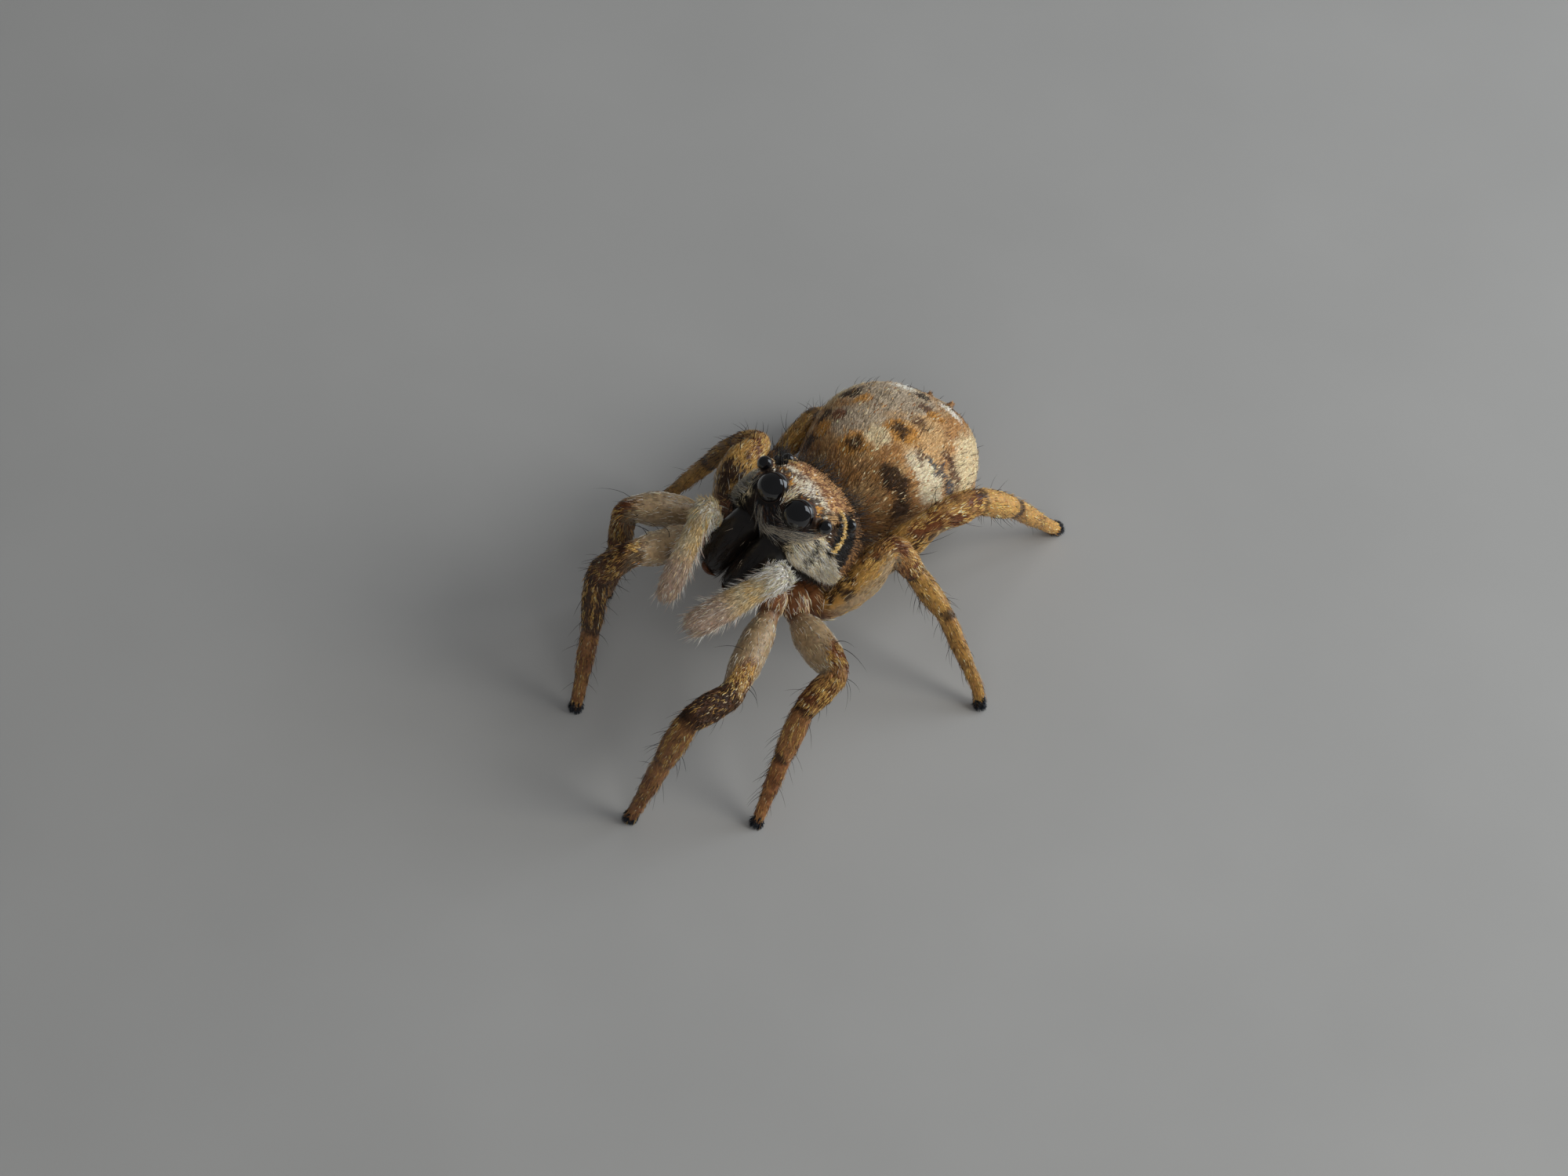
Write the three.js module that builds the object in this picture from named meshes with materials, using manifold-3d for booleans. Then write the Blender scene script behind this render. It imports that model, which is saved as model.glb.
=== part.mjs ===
// A jumping spider, a female of the zebra spider kind, standing with its head raised and turned up.
// Millimetres. +Z is up, +X is the spider's left and -Y the way it faces; the eight feet stand on Z = 0.
// Every outline is the outer one, out to the tips of the coat of scales and hairs.
import * as THREE from "three";
import { LoftGeometry } from "three/addons/geometries/LoftGeometry.js";
import { mergeVertices } from "three/addons/utils/BufferGeometryUtils.js";
import Module from "manifold-3d";

const wasm = await Module();
wasm.setup();

// ---- driving dimensions ----
const GAP = 0.03; // between neighbouring parts
const LEAST_OVERLAP = 1e-7; // cubic millimetres that two parts may share before one is cut
const STANCE_MIDDLE = [0.101, 0.2755]; // x, y of the middle of the standing outline, from under the prosoma
const PROSOMA_HEIGHT = 2.32; // centre of the head and thorax above the ground
const PROSOMA_PITCH = 41; // degrees, face raised
const PROSOMA_ROLL = 16; // degrees, left side down

const ABDOMEN_CENTRE = [-0.23, 2.78, 1.09];
const ABDOMEN_TURN = 7; // degrees, tail to the right
const ABDOMEN_DROP = 8; // degrees, tail down

// Body forms as stations along their axis: [forward, half width, top, bottom, squareness], where the
// squareness is the power of the superellipse across the body there.
const CARAPACE = [
  [-1.38, 0.24, -0.04, -0.25, 2.2],
  [-1.27, 0.5, 0.08, -0.32, 2.2],
  [-0.98, 0.74, 0.34, -0.36, 2.3],
  [-0.5, 0.88, 0.6, -0.37, 2.4],
  [0.0, 0.92, 0.73, -0.36, 2.5],
  [0.4, 0.84, 0.75, -0.34, 2.6],
  [0.72, 0.71, 0.72, -0.3, 2.8],
  [0.95, 0.63, 0.67, -0.24, 3.0],
  [1.12, 0.53, 0.58, -0.16, 3.0],
  [1.22, 0.41, 0.48, -0.08, 3.0],
];
const STERNUM = [
  [-0.86, 0.1, -0.41, -0.56],
  [-0.6, 0.27, -0.41, -0.64],
  [-0.1, 0.37, -0.41, -0.68],
  [0.28, 0.36, -0.41, -0.68],
  [0.4, 0.26, -0.41, -0.64],
];
const MOUTHPARTS = [
  [0.44, 0.26, -0.38, -0.74],
  [0.54, 0.34, -0.37, -0.92],
  [0.64, 0.33, -0.36, -0.96],
];
const ABDOMEN = [
  [1.72, 0.22, 0.14, -0.2],
  [1.62, 0.46, 0.38, -0.36],
  [1.3, 0.76, 0.68, -0.62],
  [0.8, 1.01, 0.86, -0.82],
  [0.2, 1.16, 0.92, -0.94],
  [-0.35, 1.19, 0.86, -0.96],
  [-0.8, 1.06, 0.68, -0.88],
  [-1.15, 0.79, 0.42, -0.7],
  [-1.4, 0.44, 0.16, -0.5],
  [-1.55, 0.18, -0.04, -0.32],
];
const SQUARENESS = 2.4; // where a table gives none
const WIDEST = { carapace: 0.12, belly: 0.3, abdomen: 0.4 }; // where a section is widest, as a share of its height

// Chelicerae: [height, sideways, forward, half width, half depth], from the face down.
const CHELICERA = [
  [-0.04, 0.215, 0.86, 0.19, 0.18],
  [-0.25, 0.235, 0.91, 0.218, 0.235],
  [-0.55, 0.24, 0.93, 0.222, 0.245],
  [-0.8, 0.232, 0.91, 0.205, 0.22],
  [-0.98, 0.21, 0.87, 0.16, 0.17],
  [-1.06, 0.185, 0.84, 0.09, 0.1],
];

// Eyes: radius and place of each pair, with the lens centres [sideways, forward, up] from the prosoma.
const EYES = {
  main: { radius: 0.212, at: [0.2425, 1.12, 0.35] },
  side: { radius: 0.097, at: [0.583, 1.0, 0.46] },
  rear: { radius: 0.085, at: [0.61, 0.22, 0.53] },
};
const TINY_EYE = { radius: 0.045, at: [0.62, 0.62, 0.53] }; // one body with the carapace

// Legs: hips [forward, sideways, up] from the prosoma centre, where the trochanter meets the femur.
const HIPS = [
  [0.56, 0.72, -0.97],
  [0.13, 0.95, -0.84],
  [-0.33, 1.0, -0.66],
  [-1.0, 0.75, -0.35],
];
const COXA_ROOTS = [
  [0.43, 0.42, -0.62],
  [0.08, 0.52, -0.62],
  [-0.28, 0.52, -0.6],
  [-0.64, 0.42, -0.54],
];
// Each segment is [length, heading, rise]: heading in degrees from straight ahead towards the leg's own
// side, rise in degrees above level. The foot's rise follows from the ground.
const LEGS = {
  left_1: { femur: [1.43, 15, -4], patella: [0.73, -14, -1], tibia: [0.74, -23, -66], foot: [1.1, -36] },
  right_1: { femur: [1.26, 14, 18], patella: [0.66, 75, -55], tibia: [0.85, -35, -74], foot: [1.24, -23] },
  left_2: { femur: [1.17, 59, 10], patella: [0.64, -15, -34], tibia: [0.72, 2, -59], foot: [0.99, 7] },
  right_2: { femur: [1.1, 42, 15], patella: [0.61, -20, -78], tibia: [0.71, 145, -74], foot: [1.1, 145] },
  left_3: { femur: [1.2, 162, 32], patella: [0.6, 136, -58], tibia: [0.74, 97, -43], foot: [1.4, 81] },
  right_3: { femur: [1.07, 173, 14], patella: [0.53, 109, -43], tibia: [0.71, 86, -58], foot: [1.3, 71] },
  left_4: { femur: [1.56, 156, 24], patella: [0.66, 162, -4], tibia: [1.01, 165, -38], foot: [1.66, 168] },
  right_4: { femur: [1.35, 144, -38], patella: [0.6, 172, 0], tibia: [0.95, 176, 3], foot: [1.22, 178] },
};
const FEMUR_BOW = 0.1; // how far the middle of a femur arches out and up
const OTHER_BOWS = { left_1: 0.02, right_1: -0.06, left_2: 0.05 }; // the same, of the straighter femora
const JOINT_ROUNDING = 0.24; // length of limb that bends on each side of a joint
// Leg radii from the coxa to the claw tuft, at shares of the way along each segment.
const LEG_RADII = {
  coxa: [0.16, 0.18, 0.2],
  femur: [0.19, 0.24, 0.26, 0.26, 0.25],
  patella: [0.24, 0.25, 0.24],
  tibia: [0.24, 0.25, 0.24],
  foot: [0.24, 0.24, 0.24, 0.24],
};

// Palps: knees and tips [sideways, forward, up] from the prosoma centre, left then right.
const PALP_ROOT = [0.46, 0.72, -0.72];
const PALPS = {
  left: { knee: [0.76, 1.38, -0.3], tip: [0.46, 1.68, -1.58] },
  right: { knee: [-0.6, 1.38, -0.36], tip: [-0.17, 1.55, -1.58] },
};
const PALP_RADII = {
  femur: [0.14, 0.2, 0.22],
  tarsus: [0.22, 0.24, 0.25, 0.25, 0.22, 0.12],
};

// Spinnerets: a mound at the tail with nozzles that spread [sideways, up] in steps of their own spacing.
const MOUND = { radius: 0.2, at: [0, -1.5, -0.28] };
const NOZZLES = [[-1, 1], [1, 1], [-1, -1], [1, -1], [0, 0]];
const NOZZLE = { length: 0.36, radius: 0.08, spacing: 0.09, spread: 0.28 };

const WAIST_RADIUS = 0.22;

const LEG_SIDES = 10;
const BODY_SIDES = 24;

// ---- materials ----
const paint = (color, roughness, metalness = 0) =>
  new THREE.MeshStandardMaterial({ color, roughness, metalness });
const COLOURS = {
  carapace: [0x8d6f52, 0.8],
  face: [0x2a1a12, 0.35],
  eye: [0x050505, 0.05],
  sternum: [0x6f553c, 0.8],
  palp: [0xd9cfa8, 0.85],
  abdomen: [0xb08a5c, 0.85],
  coxa: [0xa9835a, 0.6],
  femur: [0xc6a878, 0.55],
  patella: [0xa8834a, 0.7],
  tibia: [0x9b7440, 0.7],
  foot: [0x8a5a30, 0.6],
};

// ---- scene graph ----
const spider = new THREE.Group();
const prosoma = new THREE.Group();
const abdomen = new THREE.Group();
const degrees = THREE.MathUtils.degToRad;
spider.position.set(-STANCE_MIDDLE[0], -STANCE_MIDDLE[1], 0);
prosoma.position.set(0, 0, PROSOMA_HEIGHT);
prosoma.rotation.set(-degrees(PROSOMA_PITCH), degrees(PROSOMA_ROLL), 0);
abdomen.position.set(...ABDOMEN_CENTRE);
abdomen.rotation.set(-degrees(ABDOMEN_DROP), 0, degrees(ABDOMEN_TURN), "ZXY");
spider.add(prosoma, abdomen);
prosoma.updateMatrix();

function place(name, geometry, look, group) {
  const mesh = new THREE.Mesh(geometry, paint(...COLOURS[look]));
  mesh.name = name;
  group.add(mesh);
  return mesh;
}

// ---- forms ----
const local = ([sideways, forward, up]) => new THREE.Vector3(sideways, -forward, up);
const signedPower = (value, power) => Math.sign(value) * Math.abs(value) ** power;

// A body whose cross sections are superellipses, widest low down, along its forward (-Y) axis.
function bodyForm(stations, widest) {
  const rings = stations.map(([forward, half, top, bottom, squareness = SQUARENESS]) => {
    const middle = bottom + widest * (top - bottom);
    const ring = [];
    for (let side = 0; side < BODY_SIDES; side++) {
      const angle = (side / BODY_SIDES) * 2 * Math.PI;
      const across = signedPower(Math.cos(angle), 2 / squareness);
      const rise = signedPower(Math.sin(angle), 2 / squareness);
      const reach = rise > 0 ? top - middle : middle - bottom;
      ring.push(new THREE.Vector3(half * across, -forward, middle + reach * rise));
    }
    return ring;
  });
  return closedLoft(rings);
}

function cheliceraForm(side) {
  const rings = CHELICERA.map(([height, across, forward, halfWidth, halfDepth]) => {
    const ring = [];
    for (let step = 0; step < LEG_SIDES; step++) {
      const angle = (step / LEG_SIDES) * 2 * Math.PI;
      const x = side * across + halfWidth * Math.cos(angle);
      ring.push(new THREE.Vector3(x, -forward + halfDepth * Math.sin(angle), height));
    }
    return ring;
  });
  return closedLoft(rings);
}

// A loft with both ends capped, its shared points merged and its faces turned outwards.
function closedLoft(rings) {
  const loft = (list) =>
    bare(new LoftGeometry(list, { capStart: true, capEnd: true }));
  const made = loft(rings);
  return signedVolume(made) > 0 ? made : loft(rings.map((ring) => [...ring].reverse()));
}

// The geometry's points and faces alone, with shared points merged.
function bare(geometry) {
  const plain = new THREE.BufferGeometry();
  plain.setAttribute("position", geometry.getAttribute("position"));
  plain.setIndex(geometry.index);
  return mergeVertices(plain, 1e-4);
}

function signedVolume(geometry) {
  const points = geometry.getAttribute("position");
  const corner = (i) => new THREE.Vector3().fromBufferAttribute(points, geometry.index.array[i]);
  let six = 0;
  for (let i = 0; i < geometry.index.count; i += 3) {
    six += corner(i).dot(corner(i + 1).cross(corner(i + 2)));
  }
  return six / 6;
}

function ball(radius, at) {
  return bare(new THREE.SphereGeometry(radius, 12, 8).translate(...local(at)));
}

// A round limb segment between two shares of a path, with its radii spread evenly along it.
function limbForm({ path, across }, from, to, radii) {
  const rings = radii.map((radius, i) => {
    const share = from + ((to - from) * i) / (radii.length - 1);
    return ringAt(path, share, radius, across);
  });
  return closedLoft(rings);
}

// A ring square to the path, its first point on the side that across points to.
function ringAt(path, share, radius, across) {
  const centre = path.getPointAt(share);
  const along = path.getTangentAt(share);
  const side = across.clone().addScaledVector(along, -across.dot(along)).normalize();
  const front = along.clone().cross(side);
  const ring = [];
  for (let step = 0; step < LEG_SIDES; step++) {
    const angle = (step / LEG_SIDES) * 2 * Math.PI;
    const point = centre.clone().addScaledVector(side, radius * Math.cos(angle));
    ring.push(point.addScaledVector(front, radius * Math.sin(angle)));
  }
  return ring;
}

function straightPath(from, to) {
  return { path: new THREE.LineCurve3(from, to), across: new THREE.Vector3(1, 0, 0) };
}

// A polyline with each corner rounded, as one curve. joints holds the share of it at each corner, and
// across is square to its bend.
function roundedPath(points, rounding) {
  const path = new THREE.CurvePath();
  const lengths = [];
  let last = points[0];
  for (let i = 1; i < points.length - 1; i++) {
    const back = points[i - 1].clone().sub(points[i]);
    const ahead = points[i + 1].clone().sub(points[i]);
    const cut = Math.min(rounding, 0.45 * back.length(), 0.45 * ahead.length());
    const enter = points[i].clone().addScaledVector(back.normalize(), cut);
    const leave = points[i].clone().addScaledVector(ahead.normalize(), cut);
    path.add(new THREE.LineCurve3(last, enter));
    const corner = new THREE.QuadraticBezierCurve3(enter, points[i], leave);
    lengths.push(path.getLength() + corner.getLength() / 2);
    path.add(corner);
    last = leave;
  }
  path.add(new THREE.LineCurve3(last, points.at(-1)));
  const total = path.getLength();
  path.updateArcLengths();
  const bend = points[(points.length - 1) / 2];
  const across = bend.clone().sub(points[0]).cross(points.at(-1).clone().sub(bend)).normalize();
  return { path, across, total, joints: lengths.map((length) => length / total) };
}

// ---- cutting one part to fit another ----
function solidIn(frame, geometry, owner) {
  const local = geometry.clone();
  local.applyMatrix4(owner.matrixWorld).applyMatrix4(frame.matrixWorld.clone().invert());
  return new wasm.Manifold(
    new wasm.Mesh({
      numProp: 3,
      vertProperties: new Float32Array(local.getAttribute("position").array),
      triVerts: new Uint32Array(local.index.array),
    }),
  );
}

function fromSolid(solid) {
  const { vertProperties, triVerts } = solid.getMesh();
  const geometry = new THREE.BufferGeometry();
  geometry.setAttribute("position", new THREE.BufferAttribute(vertProperties, 3));
  geometry.setIndex(new THREE.BufferAttribute(triVerts, 1));
  return mergeVertices(geometry, 1e-4);
}

// Several forms in one mesh's own frame, as one body.
function joined(mesh, forms) {
  const [first, ...others] = forms.map((form) => solidIn(mesh, form, mesh));
  return fromSolid(others.reduce((whole, other) => whole.add(other), first));
}

// The same surface moved out along its normals.
function swollen(geometry, amount) {
  const grown = geometry.clone();
  grown.computeVertexNormals();
  const points = grown.getAttribute("position");
  const normals = grown.getAttribute("normal");
  for (let i = 0; i < points.count; i++) {
    const move = (axis) => points[`get${axis}`](i) + amount * normals[`get${axis}`](i);
    points.setXYZ(i, move("X"), move("Y"), move("Z"));
  }
  grown.deleteAttribute("normal");
  return grown;
}

// Cuts a part clear of the neighbours that it reaches into.
function trim(mesh, ...neighbours) {
  spider.updateMatrixWorld(true);
  let solid = solidIn(mesh, mesh.geometry, mesh);
  let cut = false;
  for (const other of neighbours) {
    const bulk = solidIn(mesh, other.geometry, other);
    if (solid.intersect(bulk).volume() < LEAST_OVERLAP) continue;
    solid = solid.subtract(solidIn(mesh, swollen(other.geometry, GAP), other));
    cut = true;
  }
  if (!cut) return;
  const pieces = solid.decompose().sort((a, b) => b.volume() - a.volume());
  mesh.geometry = fromSolid(pieces[0]);
}

// ---- head and thorax ----
const carapace = place("carapace", bodyForm(CARAPACE, WIDEST.carapace), "carapace", prosoma);
const sternum = place("sternum", bodyForm(STERNUM, WIDEST.belly), "sternum", prosoma);
const mouthparts = place("mouthparts", bodyForm(MOUTHPARTS, WIDEST.belly), "sternum", prosoma);

const SIDES = { left: 1, right: -1 };
const mirrored = ([sideways, forward, up], sign) => [sign * sideways, forward, up];
const eyes = [];
for (const [sideName, sign] of Object.entries(SIDES)) {
  for (const [eyeName, { radius, at }] of Object.entries(EYES)) {
    eyes.push(place(`eye_${eyeName}_${sideName}`, ball(radius, mirrored(at, sign)), "eye", prosoma));
  }
}
const bumps = Object.values(SIDES).map((sign) => ball(TINY_EYE.radius, mirrored(TINY_EYE.at, sign)));
const plainCarapace = new THREE.Mesh(carapace.geometry);
prosoma.add(plainCarapace);
carapace.geometry = joined(carapace, [carapace.geometry, ...bumps]);
trim(carapace, ...eyes);

const chelicerae = Object.entries(SIDES).map(([sideName, sign]) =>
  place(`chelicera_${sideName}`, cheliceraForm(sign), "face", prosoma),
);
for (const chelicera of chelicerae) trim(chelicera, plainCarapace, mouthparts);

// ---- palps ----
for (const [sideName, sign] of Object.entries(SIDES)) {
  const { knee, tip } = PALPS[sideName];
  const points = [mirrored(PALP_ROOT, sign), knee, tip].map(local);
  const limb = roundedPath(points, JOINT_ROUNDING);
  const kneeAt = limb.joints[0];
  const half = GAP / 2 / limb.total;
  const femur = limbForm(limb, 0, kneeAt - half, PALP_RADII.femur);
  const tarsus = limbForm(limb, kneeAt + half, 1, PALP_RADII.tarsus);
  const upper = place(`palp_${sideName}_femur`, femur, "palp", prosoma);
  const lower = place(`palp_${sideName}_tarsus`, tarsus, "palp", prosoma);
  trim(upper, plainCarapace, mouthparts, ...chelicerae);
  trim(lower, plainCarapace, upper, ...chelicerae);
}

// ---- abdomen ----
const trunk = place("abdomen", bodyForm(ABDOMEN, WIDEST.abdomen), "abdomen", abdomen);

function spinneretForm() {
  const middle = local(MOUND.at);
  const nozzles = NOZZLES.map(([sideways, up]) => {
    const aim = new THREE.Vector3(NOZZLE.spread * sideways, 1, NOZZLE.spread * up).normalize();
    const foot = middle.clone().add(new THREE.Vector3(sideways, 0, up).multiplyScalar(NOZZLE.spacing));
    const end = foot.clone().addScaledVector(aim, NOZZLE.length);
    return limbForm(straightPath(foot, end), 0, 1, [NOZZLE.radius, NOZZLE.radius, 0.5 * NOZZLE.radius]);
  });
  return joined(trunk, [ball(MOUND.radius, MOUND.at), ...nozzles]);
}
trim(place("spinnerets", spinneretForm(), "sternum", abdomen), trunk);

const waistFrom = prosoma.localToWorld(local([0, -0.95, -0.2]));
const waistTo = abdomen.localToWorld(local([0, 1.35, -0.12]));
for (const end of [waistFrom, waistTo]) spider.worldToLocal(end);
const waist = limbForm(straightPath(waistFrom, waistTo), 0, 1, [WAIST_RADIUS, WAIST_RADIUS]);
trim(place("pedicel", waist, "sternum", spider), plainCarapace, trunk);

// ---- legs ----
function step(from, [length, heading, rise], sign) {
  const [turn, lift] = [degrees(heading), degrees(rise)];
  const level = length * Math.cos(lift);
  const move = [sign * level * Math.sin(turn), -level * Math.cos(turn), length * Math.sin(lift)];
  return from.clone().add(new THREE.Vector3(...move));
}

// The foot's end lies flat on the ground: its last ring slides along the leg to Z = 0.
function flatFoot({ path, across }, from, radii) {
  const rings = radii.map((radius, i) => {
    const share = from + ((1 - from) * i) / radii.length;
    return ringAt(path, share, radius, across);
  });
  const along = path.getTangentAt(1);
  const sole = ringAt(path, 1, radii.at(-1), across);
  for (const point of sole) {
    point.addScaledVector(along, -point.z / along.z);
    point.z = 0;
  }
  return closedLoft([...rings, sole]);
}

const limbs = [];
for (const [legName, leg] of Object.entries(LEGS)) {
  const [sideName, number] = legName.split("_");
  const sign = SIDES[sideName];
  const atBody = ([forward, sideways, up]) => local([sign * sideways, forward, up]).applyMatrix4(prosoma.matrix);
  const root = atBody(COXA_ROOTS[number - 1]);
  const hip = atBody(HIPS[number - 1]);
  const knee = step(hip, leg.femur, sign);
  const shin = step(knee, leg.patella, sign);
  const ankle = step(shin, leg.tibia, sign);
  const [footLength, footHeading] = leg.foot;
  const sink = -THREE.MathUtils.radToDeg(Math.asin(ankle.z / footLength));
  const ground = step(ankle, [footLength, footHeading, sink], sign);

  const outward = hip.clone().setZ(0).normalize().setZ(0.5).normalize();
  const arch = hip.clone().lerp(knee, 0.5).addScaledVector(outward, OTHER_BOWS[legName] ?? FEMUR_BOW);
  const limb = roundedPath([root, hip, arch, knee, shin, ankle, ground], JOINT_ROUNDING);
  const [hipAt, , kneeAt, shinAt, ankleAt] = limb.joints;
  const half = GAP / 2 / limb.total;
  const segments = {
    coxa: limbForm(limb, 0, hipAt - half, LEG_RADII.coxa),
    femur: limbForm(limb, hipAt + half, kneeAt - half, LEG_RADII.femur),
    patella: limbForm(limb, kneeAt + half, shinAt - half, LEG_RADII.patella),
    tibia: limbForm(limb, shinAt + half, ankleAt - half, LEG_RADII.tibia),
    foot: flatFoot(limb, ankleAt + half, LEG_RADII.foot),
  };
  for (const [part, geometry] of Object.entries(segments)) {
    const mesh = place(`leg_${legName}_${part}`, geometry, part, spider);
    trim(mesh, plainCarapace, sternum, mouthparts, trunk, ...limbs);
    limbs.push(mesh);
  }
}
prosoma.remove(plainCarapace);

export default spider;
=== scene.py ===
"""A jumping spider at life size: one skin with its coat of scales and hairs, eyes, jaws and claws."""

import math

import bpy
import numpy as np
from mathutils import Matrix, Vector
from mathutils.bvhtree import BVHTree
from mathutils.kdtree import KDTree


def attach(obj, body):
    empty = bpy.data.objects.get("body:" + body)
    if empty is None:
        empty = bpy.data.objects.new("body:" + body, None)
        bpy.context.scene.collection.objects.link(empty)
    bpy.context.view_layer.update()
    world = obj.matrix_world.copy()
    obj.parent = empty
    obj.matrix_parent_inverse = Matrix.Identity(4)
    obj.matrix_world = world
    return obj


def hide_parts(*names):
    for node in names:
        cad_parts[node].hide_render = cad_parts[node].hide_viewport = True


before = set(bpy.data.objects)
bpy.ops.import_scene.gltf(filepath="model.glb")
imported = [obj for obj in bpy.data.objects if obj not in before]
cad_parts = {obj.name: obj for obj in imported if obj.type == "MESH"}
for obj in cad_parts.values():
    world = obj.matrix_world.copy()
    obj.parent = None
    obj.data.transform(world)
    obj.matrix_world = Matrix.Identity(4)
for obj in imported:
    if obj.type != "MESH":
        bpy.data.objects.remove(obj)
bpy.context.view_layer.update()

# Shapes are made in millimetres in the part's frame: +X is the spider's left, -Y the way it faces.
MM = 0.001
ROOT = "root"
SEED = 570
LOWEST = 0.004  # how far skin and coat stay over the floor

# ---- the stance and the body's sizes, as in the solids ----
STANCE_MIDDLE = np.array([0.101, 0.2755, 0.0])
PROSOMA_AT = np.array([0.0, 0.0, 2.32])
PROSOMA_PITCH, PROSOMA_ROLL = 41, 16
ABDOMEN_AT = np.array([-0.23, 2.78, 1.09])
ABDOMEN_TURN, ABDOMEN_DROP = 7, 8

# Stations along a body: [forward, half width, top, bottom, squareness], out to the coat's tips.
CARAPACE = [
    [-1.38, 0.24, -0.04, -0.25, 2.2],
    [-1.27, 0.5, 0.08, -0.32, 2.2],
    [-0.98, 0.74, 0.34, -0.36, 2.3],
    [-0.5, 0.88, 0.6, -0.37, 2.4],
    [0.0, 0.92, 0.73, -0.36, 2.5],
    [0.4, 0.84, 0.75, -0.34, 2.6],
    [0.72, 0.71, 0.72, -0.3, 2.8],
    [0.95, 0.63, 0.67, -0.24, 3.0],
    [1.12, 0.53, 0.58, -0.16, 3.0],
    [1.22, 0.41, 0.48, -0.08, 3.0],
]
STERNUM = [
    [-0.86, 0.1, -0.41, -0.56, 2.4],
    [-0.6, 0.27, -0.35, -0.64, 2.4],
    [-0.1, 0.37, -0.3, -0.68, 2.4],
    [0.28, 0.36, -0.3, -0.68, 2.4],
    [0.4, 0.26, -0.35, -0.64, 2.4],
]
MOUTHPARTS = [
    [0.34, 0.26, -0.3, -0.74, 2.4],
    [0.54, 0.34, -0.3, -0.92, 2.4],
    [0.64, 0.33, -0.3, -0.96, 2.4],
]
ABDOMEN = [
    [1.72, 0.22, 0.14, -0.2, 2.4],
    [1.62, 0.46, 0.38, -0.36, 2.4],
    [1.3, 0.76, 0.68, -0.62, 2.4],
    [0.8, 1.01, 0.86, -0.82, 2.4],
    [0.2, 1.16, 0.92, -0.94, 2.4],
    [-0.35, 1.19, 0.86, -0.96, 2.4],
    [-0.8, 1.06, 0.68, -0.88, 2.4],
    [-1.15, 0.79, 0.42, -0.7, 2.4],
    [-1.4, 0.44, 0.16, -0.5, 2.4],
    [-1.55, 0.18, -0.04, -0.32, 2.4],
]
# How far up each kind of body is widest, as a share of its height, and how deep its coat is.
BODIES = {"carapace": (0.12, 0.045), "belly": (0.3, 0.03), "abdomen": (0.4, 0.05)}

# Chelicerae: [height, sideways, forward, half width, half depth].
CHELICERA = [
    [0.0, 0.215, 0.88, 0.2, 0.17],
    [-0.25, 0.235, 0.92, 0.228, 0.24],
    [-0.55, 0.24, 0.94, 0.234, 0.25],
    [-0.8, 0.232, 0.92, 0.222, 0.225],
    [-0.98, 0.21, 0.88, 0.18, 0.175],
    [-1.06, 0.19, 0.85, 0.1, 0.1],
]

# Eyes: radius and lens centre [sideways, forward, up].
EYES = {
    "main": (0.212, [0.2425, 1.12, 0.35]),
    "side": (0.097, [0.583, 1.0, 0.46]),
    "rear": (0.085, [0.61, 0.22, 0.53]),
    "tiny": (0.038, [0.62, 0.62, 0.53]),
}

HIPS = [[0.56, 0.72, -0.97], [0.13, 0.95, -0.84], [-0.33, 1.0, -0.66], [-1.0, 0.75, -0.35]]
COXA_ROOTS = [[0.43, 0.42, -0.62], [0.08, 0.52, -0.62], [-0.28, 0.52, -0.6], [-0.64, 0.42, -0.54]]
# Each segment is [length, heading, rise]: femur, patella, tibia, then the foot's [length, heading].
LEGS = {
    "left_1": ([1.43, 15, -4], [0.73, -14, -1], [0.74, -23, -66], [1.1, -36]),
    "right_1": ([1.26, 14, 18], [0.66, 75, -55], [0.85, -35, -74], [1.24, -23]),
    "left_2": ([1.17, 59, 10], [0.64, -15, -34], [0.72, 2, -59], [0.99, 7]),
    "right_2": ([1.1, 42, 15], [0.61, -20, -78], [0.71, 145, -74], [1.1, 145]),
    "left_3": ([1.2, 162, 32], [0.6, 136, -58], [0.74, 97, -43], [1.4, 81]),
    "right_3": ([1.07, 173, 14], [0.53, 109, -43], [0.71, 86, -58], [1.3, 71]),
    "left_4": ([1.56, 156, 24], [0.66, 162, -4], [1.01, 165, -38], [1.66, 168]),
    "right_4": ([1.35, 144, -38], [0.6, 172, 0], [0.95, 176, 3], [1.22, 178]),
}
FEMUR_BOW = 0.1
OTHER_BOWS = {"left_1": 0.02, "right_1": -0.06, "left_2": 0.05}  # of the straighter femora
JOINT_ROUNDING = 0.12
PALP_ROOT = [0.46, 0.72, -0.72]
PALPS = {
    "left": ([0.76, 1.38, -0.3], [0.46, 1.68, -1.58]),
    "right": ([-0.6, 1.38, -0.36], [-0.17, 1.55, -1.58]),
}
SIDES = {"left": 1, "right": -1}

# Skin radii along a leg: place is 0 to 1 in the coxa, 1 to 2 in the femur, 2 to 3 in the patella, 3 to 4
# in the tibia and 4 to 5 in the foot, whose tarsus starts at 4.55.
LEG_RADII = [
    [0.0, 0.16], [0.5, 0.2], [0.85, 0.175], [1.0, 0.135], [1.1, 0.165], [1.3, 0.226], [1.65, 0.228],
    [1.9, 0.175], [2.0, 0.145], [2.1, 0.148], [2.5, 0.16], [2.85, 0.145], [3.0, 0.126], [3.1, 0.132],
    [3.45, 0.142], [3.85, 0.125], [4.0, 0.105], [4.1, 0.108], [4.48, 0.094], [4.56, 0.082], [4.8, 0.074],
    [4.94, 0.066], [5.0, 0.052],
]
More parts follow.
